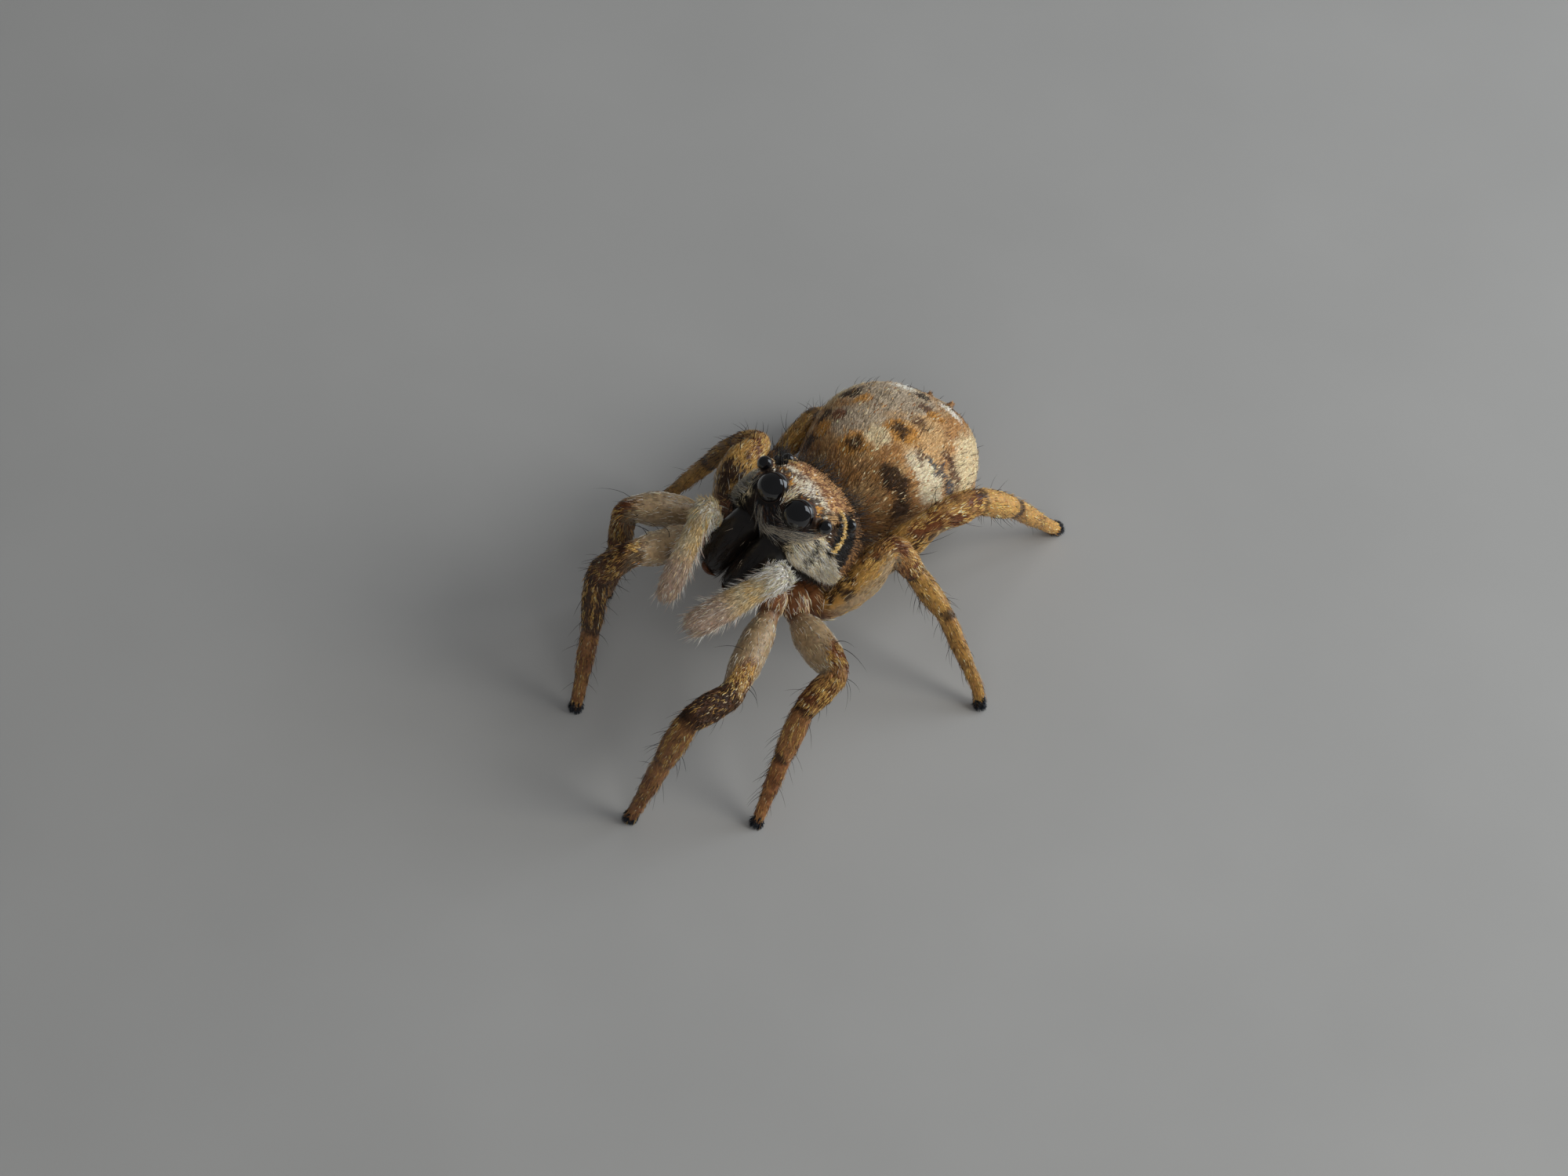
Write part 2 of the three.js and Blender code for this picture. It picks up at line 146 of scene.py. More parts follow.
# Each leg: how stout its femur is, and the rest of it, how far it lies towards its upper side in its
# solid, how dark its patella and tibia are, how light it is from the tibia on, and how far towards the
# knee the femur stays bare.
LEG_BUILD = {
    "left_1": (0.94, 1.17, 0.0, 0.97, 0.15, 0.78, 0.0), "right_1": (1.0, 1.15, 0.0, 0.75, 0.9, 0.72, 0.25),
    "left_2": (1.08, 1.06, 0.0, 0.3, 0.1, 1.02, 0.0), "right_2": (1.0, 1.0, 0.0, 0.6, 0.6, 0.75, 0.25),
    "left_3": (1.0, 1.08, 0.08, 0.1, 0.1, 0.95, 0.0), "right_3": (1.0, 1.05, 0.0, 0.2, 0.5, 0.9, 0.0),
    "left_4": (1.0, 1.3, -0.03, 0.1, 0.1, 1.3, 0.0), "right_4": (1.0, 1.05, 0.0, 0.5, 0.4, 1.0, 0.0),
}
PALP_RADII = [
    [0.0, 0.1], [0.2, 0.135], [0.85, 0.14], [1.0, 0.125], [1.25, 0.12], [1.5, 0.135], [1.8, 0.145],
    [1.95, 0.12], [2.0, 0.075],
]
PALP_STOUT = {"left": 1.2, "right": 0.95}
# How far each palp lies from the middle of its solids, at its knee and at its tip.
PALP_SHIFT = {"left": ([-0.05, 0.0, 0.03], [-0.08, 0.01, 0.03]), "right": ([-0.06, -0.03, 0.0], [0.0, 0.0, 0.01])}
MOUND_RADIUS, MOUND_AT = 0.19, [0, -1.5, -0.28]
NOZZLES = [(-1, 1), (1, 1), (-1, -1), (1, -1), (0, 0)]
NOZZLE_LENGTH, NOZZLE_RADIUS, NOZZLE_SPACING, NOZZLE_SPREAD = 0.34, 0.07, 0.09, 0.28

NOZZLE_RADII = [[0, NOZZLE_RADIUS], [0.6, NOZZLE_RADIUS], [1, 0.4 * NOZZLE_RADIUS]]
WAIST_RADII = [[0, 0.17], [1, 0.17]]

SKIN_VOXEL = 0.026
SKIN_SMOOTHING = (0.5, 3)  # factor and rounds

# ---- colours ----
COLOURS = {
    "white": "fdf6e8", "cream": "f4e0b6", "gold": "e2ba6c", "straw": "c99a52", "tan": "cb965a",
    "sand": "dfb780", "rust": "7a4828", "orange": "a87548", "brown": "62412a", "dark": "332013",
    "black": "110d0b", "ink": "0f1620", "grey": "c2b29b", "beige": "b39a78", "amber": "ba8a52",
    "pink": "e6c8b6", "slate": "464a52", "ochre": "cf9340", "bark": "463020", "coxa": "825433",
    "ivory": "f7e8c8",
}


def linear(code):
    """A hex colour as linear red, green and blue."""
    value = np.array([int(code[i:i + 2], 16) for i in (0, 2, 4)]) / 255
    return np.where(value <= 0.04045, value / 12.92, ((value + 0.055) / 1.055) ** 2.4)


HUE = {name: linear(code) for name, code in COLOURS.items()}


# ---- small maths ----
def unit(vectors):
    return vectors / np.maximum(np.linalg.norm(vectors, axis=-1, keepdims=True), 1e-9)


def turn(axis, degrees):
    return np.array(Matrix.Rotation(math.radians(degrees), 3, axis))


def ramp(value, edge, soft):
    """0 below the edge and 1 above it, changing over the width soft."""
    share = np.clip((value - edge) / soft + 0.5, 0, 1)
    return share * share * (3 - 2 * share)


def band(value, low, high, soft):
    return ramp(value, low, soft) * (1 - ramp(value, high, soft))


def mix(first, second, share):
    """Colours, or names of colours, mixed by a share for each spot."""
    first, second = (HUE[colour] if isinstance(colour, str) else colour for colour in (first, second))
    share = np.asarray(share)[:, None]
    return first * (1 - share) + second * share


def layered(tint, *layers):
    """A colour with others laid over it, each with its share."""
    for colour, share in layers:
        tint = mix(tint, colour, share)
    return tint


def circle(sides):
    """Even angles once round."""
    return np.arange(sides) / sides * 2 * math.pi


def unit_ball(lat, sides):
    """Points of a ball at some angles from its pole: (angles, sides, 3)."""
    lat, lon = lat[:, None], circle(sides)
    return np.stack([np.sin(lat) * np.cos(lon), np.sin(lat) * np.sin(lon), np.cos(lat) + 0 * lon], axis=-1)


def sleeve(count, sides):
    """Indices of rings of points, and the quads between the rings."""
    index = np.arange(count * sides).reshape(count, sides)
    ahead = np.roll(index, -1, axis=1)
    return index, np.stack([index[:-1], index[1:], ahead[1:], ahead[:-1]], axis=-1).reshape(-1, 4).tolist()


def spline(knots, values, at):
    """A smooth curve through rows of values at rising knots."""
    knots, values, at = np.asarray(knots, float), np.asarray(values, float), np.asarray(at, float)
    slopes = np.gradient(values, knots, axis=0)
    i = np.clip(np.searchsorted(knots, at) - 1, 0, len(knots) - 2)
    width = (knots[i + 1] - knots[i])[:, None]
    t = (at - knots[i])[:, None] / width
    return (
        (2 * t ** 3 - 3 * t ** 2 + 1) * values[i]
        + (t ** 3 - 2 * t ** 2 + t) * width * slopes[i]
        + (3 * t ** 2 - 2 * t ** 3) * values[i + 1]
        + (t ** 3 - t ** 2) * width * slopes[i + 1]
    )


def cloud(points, size, seed):
    """Smooth noise from 0 to 1 whose lumps are about size millimetres wide."""
    cells = 16
    lattice = np.random.default_rng(seed).random((cells, cells, cells))
    scaled = points / size
    base = np.floor(scaled).astype(int)
    t = scaled - base
    t = t * t * (3 - 2 * t)
    total = np.zeros(len(points))
    for corner in np.ndindex(2, 2, 2):
        index = (base + corner) % cells
        weight = np.prod(np.where(corner, t, 1 - t), axis=1)
        total += weight * lattice[index[:, 0], index[:, 1], index[:, 2]]
    return total


# ---- frames ----
class Frame:
    """Where a body group stands: local places are [sideways, forward, up]."""

    def __init__(self, rotation, origin):
        self.rotation = rotation
        self.origin = origin - STANCE_MIDDLE

    def place(self, local):
        return self.direct(local) + self.origin

    def direct(self, local):
        local = np.asarray(local, float)
        return (local * [1, -1, 1]) @ self.rotation.T

    def local(self, points):
        return (points - self.origin) @ self.rotation * [1, -1, 1]


PROSOMA = Frame(turn("X", -PROSOMA_PITCH) @ turn("Y", PROSOMA_ROLL), PROSOMA_AT)
TRUNK = Frame(turn("Z", ABDOMEN_TURN) @ turn("X", -ABDOMEN_DROP), ABDOMEN_AT)


# ---- forms ----
class Spots:
    """Points on a form: where they are, which way is out, how the coat lies, and their place on it. x, y
    and z are the parts of the place: sideways, forward and up on a body, and along, dorsal and lateral
    on a limb."""

    FIELDS = ("at", "out", "lie", "place", "uv")
    x, y, z = (property(lambda spots, part=part: spots.place[:, part]) for part in range(3))

    def __init__(self, *arrays):
        for name, values in zip(self.FIELDS, arrays):
            setattr(self, name, values)

    def pick(self, which):
        return Spots(*(getattr(self, name)[which] for name in self.FIELDS))


class Form:
    """A closed shape made of rings of points. The coat lies towards the last ring where backwards is 1."""

    def __init__(self, name, rings, place, look, backwards=1):
        self.name, self.at, self.place, self.look = name, rings, place, look
        along = np.gradient(rings, axis=0)
        around = np.roll(rings, -1, axis=1) - np.roll(rings, 1, axis=1)
        out = unit(np.cross(around, along))
        from_middle = rings - rings.mean(axis=1, keepdims=True)
        if (out * from_middle).sum() < 0:
            out = -out
        self.out, self.lie = out, unit(backwards * along)
        count, sides = rings.shape[:2]
        u, v = np.meshgrid(np.linspace(0, 1, count), np.arange(sides) / sides, indexing="ij")
        self.uv = np.stack([u, v], axis=-1)

    def grid(self, name):
        """A field at the corners of each quad: (4, quads, width)."""
        values = getattr(self, name)
        ahead = np.roll(values, -1, axis=1)
        if name == "uv":
            ahead = ahead.copy()
            ahead[:, -1, 1] = 1
        corners = values[:-1], values[1:], ahead[1:], ahead[:-1]
        return np.stack([corner.reshape(-1, values.shape[-1]) for corner in corners])

    def samples(self):
        fields = [getattr(self, name) for name in Spots.FIELDS]
        return Spots(*(field.reshape(-1, field.shape[-1]) for field in fields))

    def closed(self):
        """Points and faces of the form with both ends capped."""
        index, quads = sleeve(*self.at.shape[:2])
        return self.at.reshape(-1, 3), quads + [index[0].tolist(), index[-1][::-1].tolist()]


def body_form(name, kind, owner, table, look, backwards, count=110, sides=120):
    """A body from its stations, inside the coat's tips by its depth, with rounded ends."""
    widest, depth = BODIES[kind]
    rows = np.array(table, float)
    rows[:, 1:3] -= depth
    rows[:, 3] += depth
    rows[:, 0] -= depth * np.sign(rows[:, 0]) * (np.arange(len(rows)) % (len(rows) - 1) == 0)
    ends = []
    for end, beyond in ((rows[0], rows[1]), (rows[-1], rows[-2])):
        cap = end.copy()
        middle = end[3] + 0.5 * (end[2] - end[3])
        cap[0] += 0.35 * min(end[1], 0.12) * np.sign(end[0] - beyond[0])
        cap[1:4] = 0.02, middle + 0.02, middle - 0.02
        ends.append(cap)
    rows = np.vstack([ends[0], rows, ends[1]])
    steps = np.linalg.norm(np.diff(rows[:, :4], axis=0), axis=1)
    knots = np.concatenate([[0], np.cumsum(steps)])
    forward, half, top, bottom, square = spline(knots, rows, np.linspace(0, knots[-1], count)).T
    half = np.maximum(half, 0.015)
    top = np.maximum(top, bottom + 0.03)
    angle = circle(sides)
    power = (2 / square)[:, None]
    across = np.sign(np.cos(angle)) * np.abs(np.cos(angle)) ** power
    rise = np.sign(np.sin(angle)) * np.abs(np.sin(angle)) ** power
    middle = (bottom + widest * (top - bottom))[:, None]
    reach = np.where(rise > 0, top[:, None] - middle, middle - bottom[:, None])
    place = np.stack([half[:, None] * across, forward[:, None] + 0 * across, middle + reach * rise], axis=-1)
    return Form(name, owner.place(place), place, look, backwards)


def ball_form(name, centre, radius, look, count=24):
    place = unit_ball(np.linspace(0.06, math.pi - 0.06, count), count * 2)
    return Form(name, centre + radius * place, place, look)


def rounded_route(points, rounding):
    """A polyline with its corners rounded, as close points, their lengths along it, and those of its corners."""
    points = np.array(points)
    route, corners, last = [points[0]], [], points[0]
    for before, corner, after in zip(points, points[1:], points[2:]):
        cut = min(rounding, 0.45 * np.linalg.norm(before - corner), 0.45 * np.linalg.norm(after - corner))
        enter = corner + cut * unit(before - corner)
        leave = corner + cut * unit(after - corner)
        t = np.linspace(0, 1, 17)[:, None]
        route.extend(last + (enter - last) * t[1:])
        route.extend((1 - t[1:]) ** 2 * enter + 2 * t[1:] * (1 - t[1:]) * corner + t[1:] ** 2 * leave)
        corners.append(len(route) - 9)
        last = leave
    route.extend(last + (points[-1] - last) * np.linspace(0, 1, 17)[1:, None])
    route = np.array(route)
    length = np.concatenate([[0], np.cumsum(np.linalg.norm(np.diff(route, axis=0), axis=1))])
    return route, length, length[corners]


def limb_form(name, points, joints, radii, look, sides=28, spacing=0.022, deep=1.0, lift=0.0):
    """A limb along a route: joints are the corners of the route that part its segments, and a sample's
    place is [segment and share, dorsal, lateral]. deep is its depth as a share of its width, and lift
    is how far it lies to its upper side beyond its second joint."""
    route, length, corners = rounded_route(points, JOINT_ROUNDING)
    count = int(length[-1] / spacing)
    at = np.linspace(0, length[-1], count)
    line = np.stack([np.interp(at, length, route[:, k]) for k in range(3)], axis=-1)
    along = unit(np.gradient(line, axis=0))
    bend = np.array(points[(len(points) - 1) // 2])
    across = unit(np.cross(bend - points[0], points[-1] - bend))
    side = unit(across - (along @ across)[:, None] * along)
    back = np.cross(along, side)
    if back[:, 2].sum() < 0:
        back = -back
    knots = np.concatenate([[0], corners[joints], [length[-1]]])
    segment = np.interp(at, knots, np.arange(len(knots)))
    radius = np.interp(segment, *np.array(radii, float).T)
    line = line + lift * band(segment, 2.0, 4.9, 0.3)[:, None] * back
    angle = circle(sides)[None, :, None]
    dorsal, lateral = np.cos(angle), np.sin(angle)
    rings = line[:, None] + radius[:, None, None] * (deep * dorsal * back[:, None] + lateral * side[:, None])
    rings[..., 2] = np.maximum(rings[..., 2], LOWEST)
    place = np.concatenate(np.broadcast_arrays(segment[:, None, None], dorsal, lateral), axis=-1)
    return Form(name, rings, place, look)


def leg_points(name):
    """Root, hip, arch, knee, shin, ankle and ground of a leg."""
    side_name, number = name.split("_")
    sign = SIDES[side_name]
    row = int(number) - 1
    local = [[sign * sideways, forward, up] for forward, sideways, up in (COXA_ROOTS[row], HIPS[row])]
    root, hip = PROSOMA.place(local)
    points = [hip]

    def onward(length, heading, rise):
        turned, lifted = math.radians(heading), math.radians(rise)
        level = length * math.cos(lifted)
        move = [sign * level * math.sin(turned), -level * math.cos(turned), length * math.sin(lifted)]
        points.append(points[-1] + np.array(move))

    *upper, foot = LEGS[name]
    for segment in upper:
        onward(*segment)
    onward(*foot, -math.degrees(math.asin(points[-1][2] / foot[0])))
    outward = hip + STANCE_MIDDLE
    outward = unit(np.array([*unit(outward[:2]), 0.5]))
    arch = (points[0] + points[1]) / 2 + OTHER_BOWS.get(name, FEMUR_BOW) * outward
    return [root, hip, arch, *points[1:]]


# ---- markings, some of them painted shade: each gives the colour of the scales, and of the skin under them, at some spots ----
# The gold line on the side of the head, from the crown down: [forward, up].
GOLD_LINE = np.array([[0.66, 0.68], [0.46, 0.62], [0.42, 0.54], [0.41, 0.42], [0.46, 0.24], [0.5, 0.16]])
GOLD_LINE_WIDTH = 0.036


def cheek_top(forward):
    """How high the white hair of the cheeks reaches."""
    return 0.31 - 0.5 * np.maximum(0.8 - forward, 0) - 0.55 * np.maximum(forward - 0.85, 0)


def flank(spots):
    """1 on the sides of the head, below the edge of the crown."""
    return ramp(np.abs(spots.x), 0.46, 0.1) * ramp(0.7 - spots.z, 0, 0.08)


def gold_line(spots, soft=0.014):
    """1 on the thin golden line down each side of the head."""
    here = np.stack([spots.y, spots.z], axis=-1)
    far = np.full(len(here), np.inf)
    for start, end in zip(GOLD_LINE, GOLD_LINE[1:]):
        run = end - start
        share = np.clip((here - start) @ run / (run @ run), 0, 1)
        far = np.minimum(far, np.linalg.norm(here - start - share[:, None] * run, axis=1))
    return flank(spots) * (1 - ramp(far, GOLD_LINE_WIDTH, soft))


def cheek_streaks(spots):
    sideways, forward, up = spots.place.T
    stretched = np.stack([forward * 0.45, up * 1.3, sideways * 0.45], axis=-1)
    return ramp(cloud(stretched, 0.06, 3), 0.7, 0.08) * ramp(forward, 0.45, 0.2)


def carapace_look(spots):
    sideways, forward, up = spots.place.T
    wide, side = np.abs(sideways), flank(spots)
    grain, patch = cloud(spots.at, 0.035, 1), cloud(spots.at, 0.13, 2)
    speckled = mix((HUE["sand"] + HUE["tan"]) / 2, "rust", ramp(grain + 0.25 * patch, 0.62, 0.14) * 0.9)
    pale = mix(mix("white", "cream", patch) * 0.88, HUE["rust"] * 0.6, 0.9 * ramp(grain + 0.2 * patch, 0.63, 0.1))
    # Dark rings with ochre flecks round the upper edges of the main eyes: partly painted shade round the lenses,
    # partly their amber rim.
    collars = []
    radius, (x, _, z) = EYES["main"]
    for sign in SIDES.values():
        near = np.hypot(sideways - sign * x, up - z)
        collar = band(near, radius - 0.05, radius + 0.045, 0.02) * ramp(forward, 0.8, 0.1) * ramp(up, 0.4, 0.1)
        collars.append((mix("dark", "ochre", ramp(grain, 0.66, 0.2)), collar * 0.9))
    thorax_spot = np.hypot(wide - 0.33, (forward + 0.45) * 0.8)
    return layered(
        mix("brown", "tan", ramp(grain + 0.5 * patch, 0.72, 0.35)),
        (speckled, ramp(forward, 0.2, 0.3) * ramp(up, 0.42, 0.2)),
        (pale, ramp(forward + 0.16 * (patch - 0.5), 0.76, 0.14) * ramp(up, 0.42, 0.12)),
        *collars,
        (mix("bark", "sand", ramp(patch + 0.3 * grain, 0.8, 0.2) * ramp(up, 0.4, 0.2)),
         side * band(forward, 0.56, 0.9, 0.06)),
        # Black behind the gold line, and dark brown further back, on the sides of the head: partly their own colour,
        # partly painted shade of the shaded sides.
        ("black", side * band(forward, 0.08, 0.6, 0.06)),
        ("bark", side * ramp(0.1 - forward, 0, 0.15) * 0.6),
        ("gold", gold_line(spots)),
        # The face, the cheeks, the dark lower edge in front, partly painted shade under the head's edge, the pale edge
        # behind, and the white spots of the thorax.
        (mix("black", "dark", 0.5 * ramp(patch, 0.5, 0.3)), ramp(forward, 1.02, 0.06) * ramp(0.46 - up, 0, 0.1)),
        (mix("cream", "black", cheek_streaks(spots)),
         ramp(cheek_top(forward) - up, 0, 0.05) * ramp(wide, 0.4, 0.1) * ramp(forward, -0.1, 0.2)),
        ("black", ramp(-0.2 - up, 0, 0.06) * ramp(forward, 0.2, 0.3)),
        ("cream", band(up, -0.3, -0.1, 0.08) * ramp(-forward, -0.1, 0.2) * ramp(patch, 0.35, 0.2)),
        ("white", ramp(0.14 - thorax_spot, 0, 0.08) * ramp(up, 0.2, 0.1)),
    )


# Marks on the abdomen: [forward, degrees to the left of its top, half length, half width, colour].
ABDOMEN_MARKS = [
    [-0.3, -12, 0.55, 0.62, "grey"], [0.55, -20, 0.34, 0.42, "grey"],
    [0.3, 25, 0.4, 0.34, "sand"], [-0.3, 64, 0.6, 0.34, "cream"],
    [0.97, -13, 0.2, 0.24, "ochre"], [0.41, 10, 0.2, 0.24, "ochre"],
    [0.72, -1, 0.17, 0.17, "cream"], [0.68, 47, 0.21, 0.42, "ivory"],
    [0.97, -13, 0.12, 0.14, "dark"], [0.41, 10, 0.12, 0.13, "dark"], [0.1, 16, 0.1, 0.11, "brown"],
    [1.12, 31, 0.15, 0.26, "dark"], [1.2, 52, 0.14, 0.2, "bark"], [0.58, 33, 0.09, 0.09, "brown"],
    [0.5, 43, 0.05, 0.1, "slate"], [0.42, 53, 0.06, 0.16, "slate"], [0.36, 66, 0.07, 0.16, "slate"],
    [0.2, 46, 0.06, 0.14, "brown"], [0.2, 62, 0.07, 0.2, "brown"],
    [0.83, -56, 0.2, 0.2, "dark"], [0.67, -48, 0.13, 0.13, "ochre"], [0.4, -52, 0.14, 0.15, "dark"],
    [0.5, -36, 0.12, 0.1, "rust"], [0.05, -30, 0.14, 0.12, "ochre"], [-0.15, -44, 0.14, 0.16, "dark"],
    [-0.35, -14, 0.16, 0.2, "grey"], [-0.2, 24, 0.14, 0.12, "ochre"], [-0.3, 12, 0.1, 0.12, "brown"],
    [-0.72, 30, 0.13, 0.2, "white"], [-0.72, -18, 0.13, 0.2, "white"], [-0.62, 4, 0.12, 0.14, "dark"],
    [-0.95, 26, 0.1, 0.16, "dark"], [-0.95, -14, 0.1, 0.16, "dark"], [-0.5, -62, 0.5, 0.3, "cream"],
]


def abdomen_look(spots):
    sideways, forward, up = spots.place.T
    grain, patch = cloud(spots.at, 0.05, 11), cloud(spots.at, 0.24, 12)
    tint = 0.84 * mix("tan", "sand", ramp(patch, 0.5, 0.4))
    tint = mix(tint, "orange", ramp(grain + 0.35 * patch, 0.84, 0.2) * 0.7)
    ragged = 0.2 * (cloud(spots.at, 0.14, 13) - 0.5) + 0.1 * (cloud(spots.at, 0.05, 14) - 0.5)
    around = np.arctan2(sideways, up + 0.2)
    for ahead, degrees, long, broad, colour in ABDOMEN_MARKS:
        gap = np.angle(np.exp(1j * (around - math.radians(degrees))))
        far = np.hypot((forward - ahead + ragged * 0.7) / long, (gap + ragged * 0.7) / broad)
        tint = mix(tint, colour, ramp(1.0 - far, 0, 0.5) * ramp(up, -0.35, 0.2) * 0.9)
    tint = tint * (1 - 0.38 * ramp(forward, 1.0, 0.4))[:, None]
    return mix(tint, mix("grey", "brown", ramp(patch, 0.5, 0.3) * 0.5), ramp(-0.35 - up, 0, 0.25))


def leg_look(hind, patella_shade, tibia_shade, tone, bare):
    """The markings of one leg. Hind legs are golden and mottled on top of the femur."""
    def look(spots):
        place, dorsal, _ = spots.place.T
        grain, patch = cloud(spots.at, 0.03, 21), cloud(spots.at, 0.12, 22)
        dark = mix("dark", "brown", ramp(grain, 0.6, 0.3))
        base = HUE["straw" if hind else "orange"]
        tint = layered(
            mix("coxa", "beige", ramp(place, 1.08, 0.25)),
            ("bark", (band(place, 0.93, 1.02, 0.05) + band(place, 0.4, 0.46, 0.04)) * 0.5),
            (mix("straw", "bark", ramp(patch + 0.3 * grain, 0.76, 0.2)),
             hind * band(place + 0.25 * dorsal, 1.15, 2.0, 0.25) * ramp(dorsal, 0.1, 0.6)),
            (mix("amber", "rust", ramp(patch + 0.3 * grain, 0.62 if hind else 0.5, 0.2)),
             ramp(place + 0.42 * dorsal, 2.06 + bare, 0.16)),
            (dark, patella_shade * band(place, 2.02, 3.0, 0.06)),
            (mix(base, dark, np.full(len(place), tibia_shade)), band(place, 3.0, 4.02, 0.05)),
            (mix(base, "rust", ramp(patch, 0.5, 0.3) * (0.35 if hind else 0.6)), ramp(place, 4.02, 0.05)),
        )
        tint = tint * (1 + (tone - 1) * ramp(place, 2.95, 0.1))[:, None]
        bands = (
            band(place, 1.92, 2.05, 0.06) * (0.25 + 0.6 * (patella_shade > 0.6))
            + band(place, 2.88, 3.05, 0.08) * (1.4 if hind else 0.9)
            + band(place, 3.88, 4.05, 0.06) * ramp(patch, 0.3 if hind else 0.45, 0.2)
            + band(place, 4.48, 4.57, 0.05) * 0.35
        )
        return layered(tint, ("dark", np.clip(bands, 0, 1) * (0.6 + 0.4 * patch)), ("ink", ramp(place, 4.93, 0.03)))

    look.hind, look.patella_shade, look.tone, look.bare = hind, patella_shade, tone, bare
    return look


def palp_look(spots):
    return layered(
        mix(HUE["cream"] * 0.85, "gold", ramp(cloud(spots.at, 0.1, 31), 0.5, 0.2) * 0.5),
        (HUE["pink"] * 0.72, ramp(spots.x, 1.5, 0.3) * 0.85), ("white", 1 - ramp(spots.x, 1.08, 0.2)))


def underside_look(spots):
    return mix("dark", "brown", ramp(cloud(spots.at, 0.1, 41), 0.5, 0.4))


def spinneret_look(spots):
    return mix("brown", "tan", ramp(cloud(spots.at, 0.06, 42), 0.5, 0.4) * 0.7)


def socket_look(spots):
    upper = ramp(PROSOMA.local(spots.at)[:, 2], 0.42, 0.06)
    return mix("black", mix("dark", "rust", ramp(cloud(spots.at, 0.03, 51), 0.6, 0.2)), upper * 0.6)


# ---- the forms of the whole body ----
def body_forms():
    forms = [
        body_form("carapace", "carapace", PROSOMA, CARAPACE, carapace_look, -1),
        body_form("sternum", "belly", PROSOMA, STERNUM, underside_look, -1, 50, 48),
        body_form("mouth", "belly", PROSOMA, MOUTHPARTS, underside_look, 1, 40, 48),
        body_form("abdomen", "abdomen", TRUNK, ABDOMEN, abdomen_look, 1, 130, 140),
        ball_form("mound", TRUNK.place(MOUND_AT), MOUND_RADIUS, spinneret_look),
    ]
    waist = [PROSOMA.place([0, -0.95, -0.2]), TRUNK.place([0, 1.35, -0.12])]
    waist.insert(1, (waist[0] + waist[1]) / 2 + [0, 0, 0.02])
    forms.append(limb_form("waist", waist, [], WAIST_RADII, underside_look))
    for sideways, up in NOZZLES:
        foot = np.array(MOUND_AT) + NOZZLE_SPACING * np.array([sideways, 0, up])
        tip = foot + NOZZLE_LENGTH * unit(np.array([NOZZLE_SPREAD * sideways, -1, NOZZLE_SPREAD * up]))
        ends = [TRUNK.place(point) for point in (foot, (foot + tip) / 2 + [0, 0, 0.01], tip)]
        forms.append(limb_form("nozzle", ends, [], NOZZLE_RADII, spinneret_look, sides=14))
    for sign in SIDES.values():
        for radius, (x, y, z) in EYES.values():
            behind = PROSOMA.place([sign * x * 0.98, y - 0.32 * radius, z * 0.99])
            forms.append(ball_form("socket", behind, 1.06 * radius, socket_look))
    for side_name, sign in SIDES.items():
        root = [sign * PALP_ROOT[0], *PALP_ROOT[1:]]
        points = PROSOMA.place([root, *PALPS[side_name]]) + [[0, 0, 0], *PALP_SHIFT[side_name]]
        radii = [[place, radius * PALP_STOUT[side_name]] for place, radius in PALP_RADII]
        forms.append(limb_form(f"palp_{side_name}", points, [0], radii, palp_look, deep=0.92))
    for name in LEGS:
        femur, stout, lift, *shades = LEG_BUILD[name]
        widths = np.array([1, femur, stout])
        radii = [[place, radius * widths[(place > 1.0) + (place > 1.9)]] for place, radius in LEG_RADII]
        look = leg_look(name[-1] in "34", *shades)
        forms.append(limb_form(f"leg_{name}", leg_points(name), [0, 2, 3, 4], radii, look, lift=lift))
    return forms


# ---- meshes ----
def placed(name, data):
    """A new object in the scene."""
    thing = bpy.data.objects.new(name, data)
    bpy.context.scene.collection.objects.link(thing)
    return thing


def add_mesh(name, points, faces):
    mesh = bpy.data.meshes.new(name)
    mesh.from_pydata(points, [], faces)
    return placed(name, mesh)


def join(shapes):
    """Several (points, faces) as one."""
    points, faces, start = [], [], 0
    for some_points, some_faces in shapes:
        points.append(np.asarray(some_points))
        faces.extend([[start + i for i in face] for face in some_faces])
        start += len(some_points)
    return np.vstack(points), faces


def paint_points(mesh, tint):
    layer = mesh.color_attributes.new("tint", "FLOAT_COLOR", "POINT")
    values = np.ones((len(tint), 4), np.float32)
    values[:, :3] = tint
    layer.data.foreach_set("color", values.ravel())


def make_skin(forms):
    """One closed skin round all the forms, with its colours from the nearest of them."""
    rough = add_mesh("rough", *join([form.closed() for form in forms]))
    remesh = rough.modifiers.new("union", "REMESH")
    remesh.mode = "VOXEL"
    remesh.voxel_size = SKIN_VOXEL
    remesh.use_smooth_shade = True
    smooth = rough.modifiers.new("smooth", "SMOOTH")
    smooth.factor, smooth.iterations = SKIN_SMOOTHING
    made = rough.evaluated_get(bpy.context.evaluated_depsgraph_get())
    mesh = bpy.data.meshes.new_from_object(made)
    mesh.name = "skin"
    bpy.data.objects.remove(rough)
    points = np.zeros(len(mesh.vertices) * 3)
    mesh.vertices.foreach_get("co", points)
    points = points.reshape(-1, 3)
    tree = BVHTree.FromPolygons(points.tolist(), [list(face.vertices) for face in mesh.polygons])

    samples = [form.samples() for form in forms]
    tints = np.vstack([form.look(some) for form, some in zip(forms, samples)])
    places = np.vstack([some.at for some in samples])
    lookup = KDTree(len(places))
    for i, place in enumerate(places):
        lookup.insert(place, i)
    lookup.balance()
    nearest = np.array([lookup.find(point)[1] for point in points])
    owner = np.repeat(np.arange(len(forms)), [len(some.at) for some in samples])[nearest]
    paint_points(mesh, tints[nearest])
    mesh.vertices.foreach_set("co", (points * MM).ravel())
    return placed("skin", mesh), tree, owner


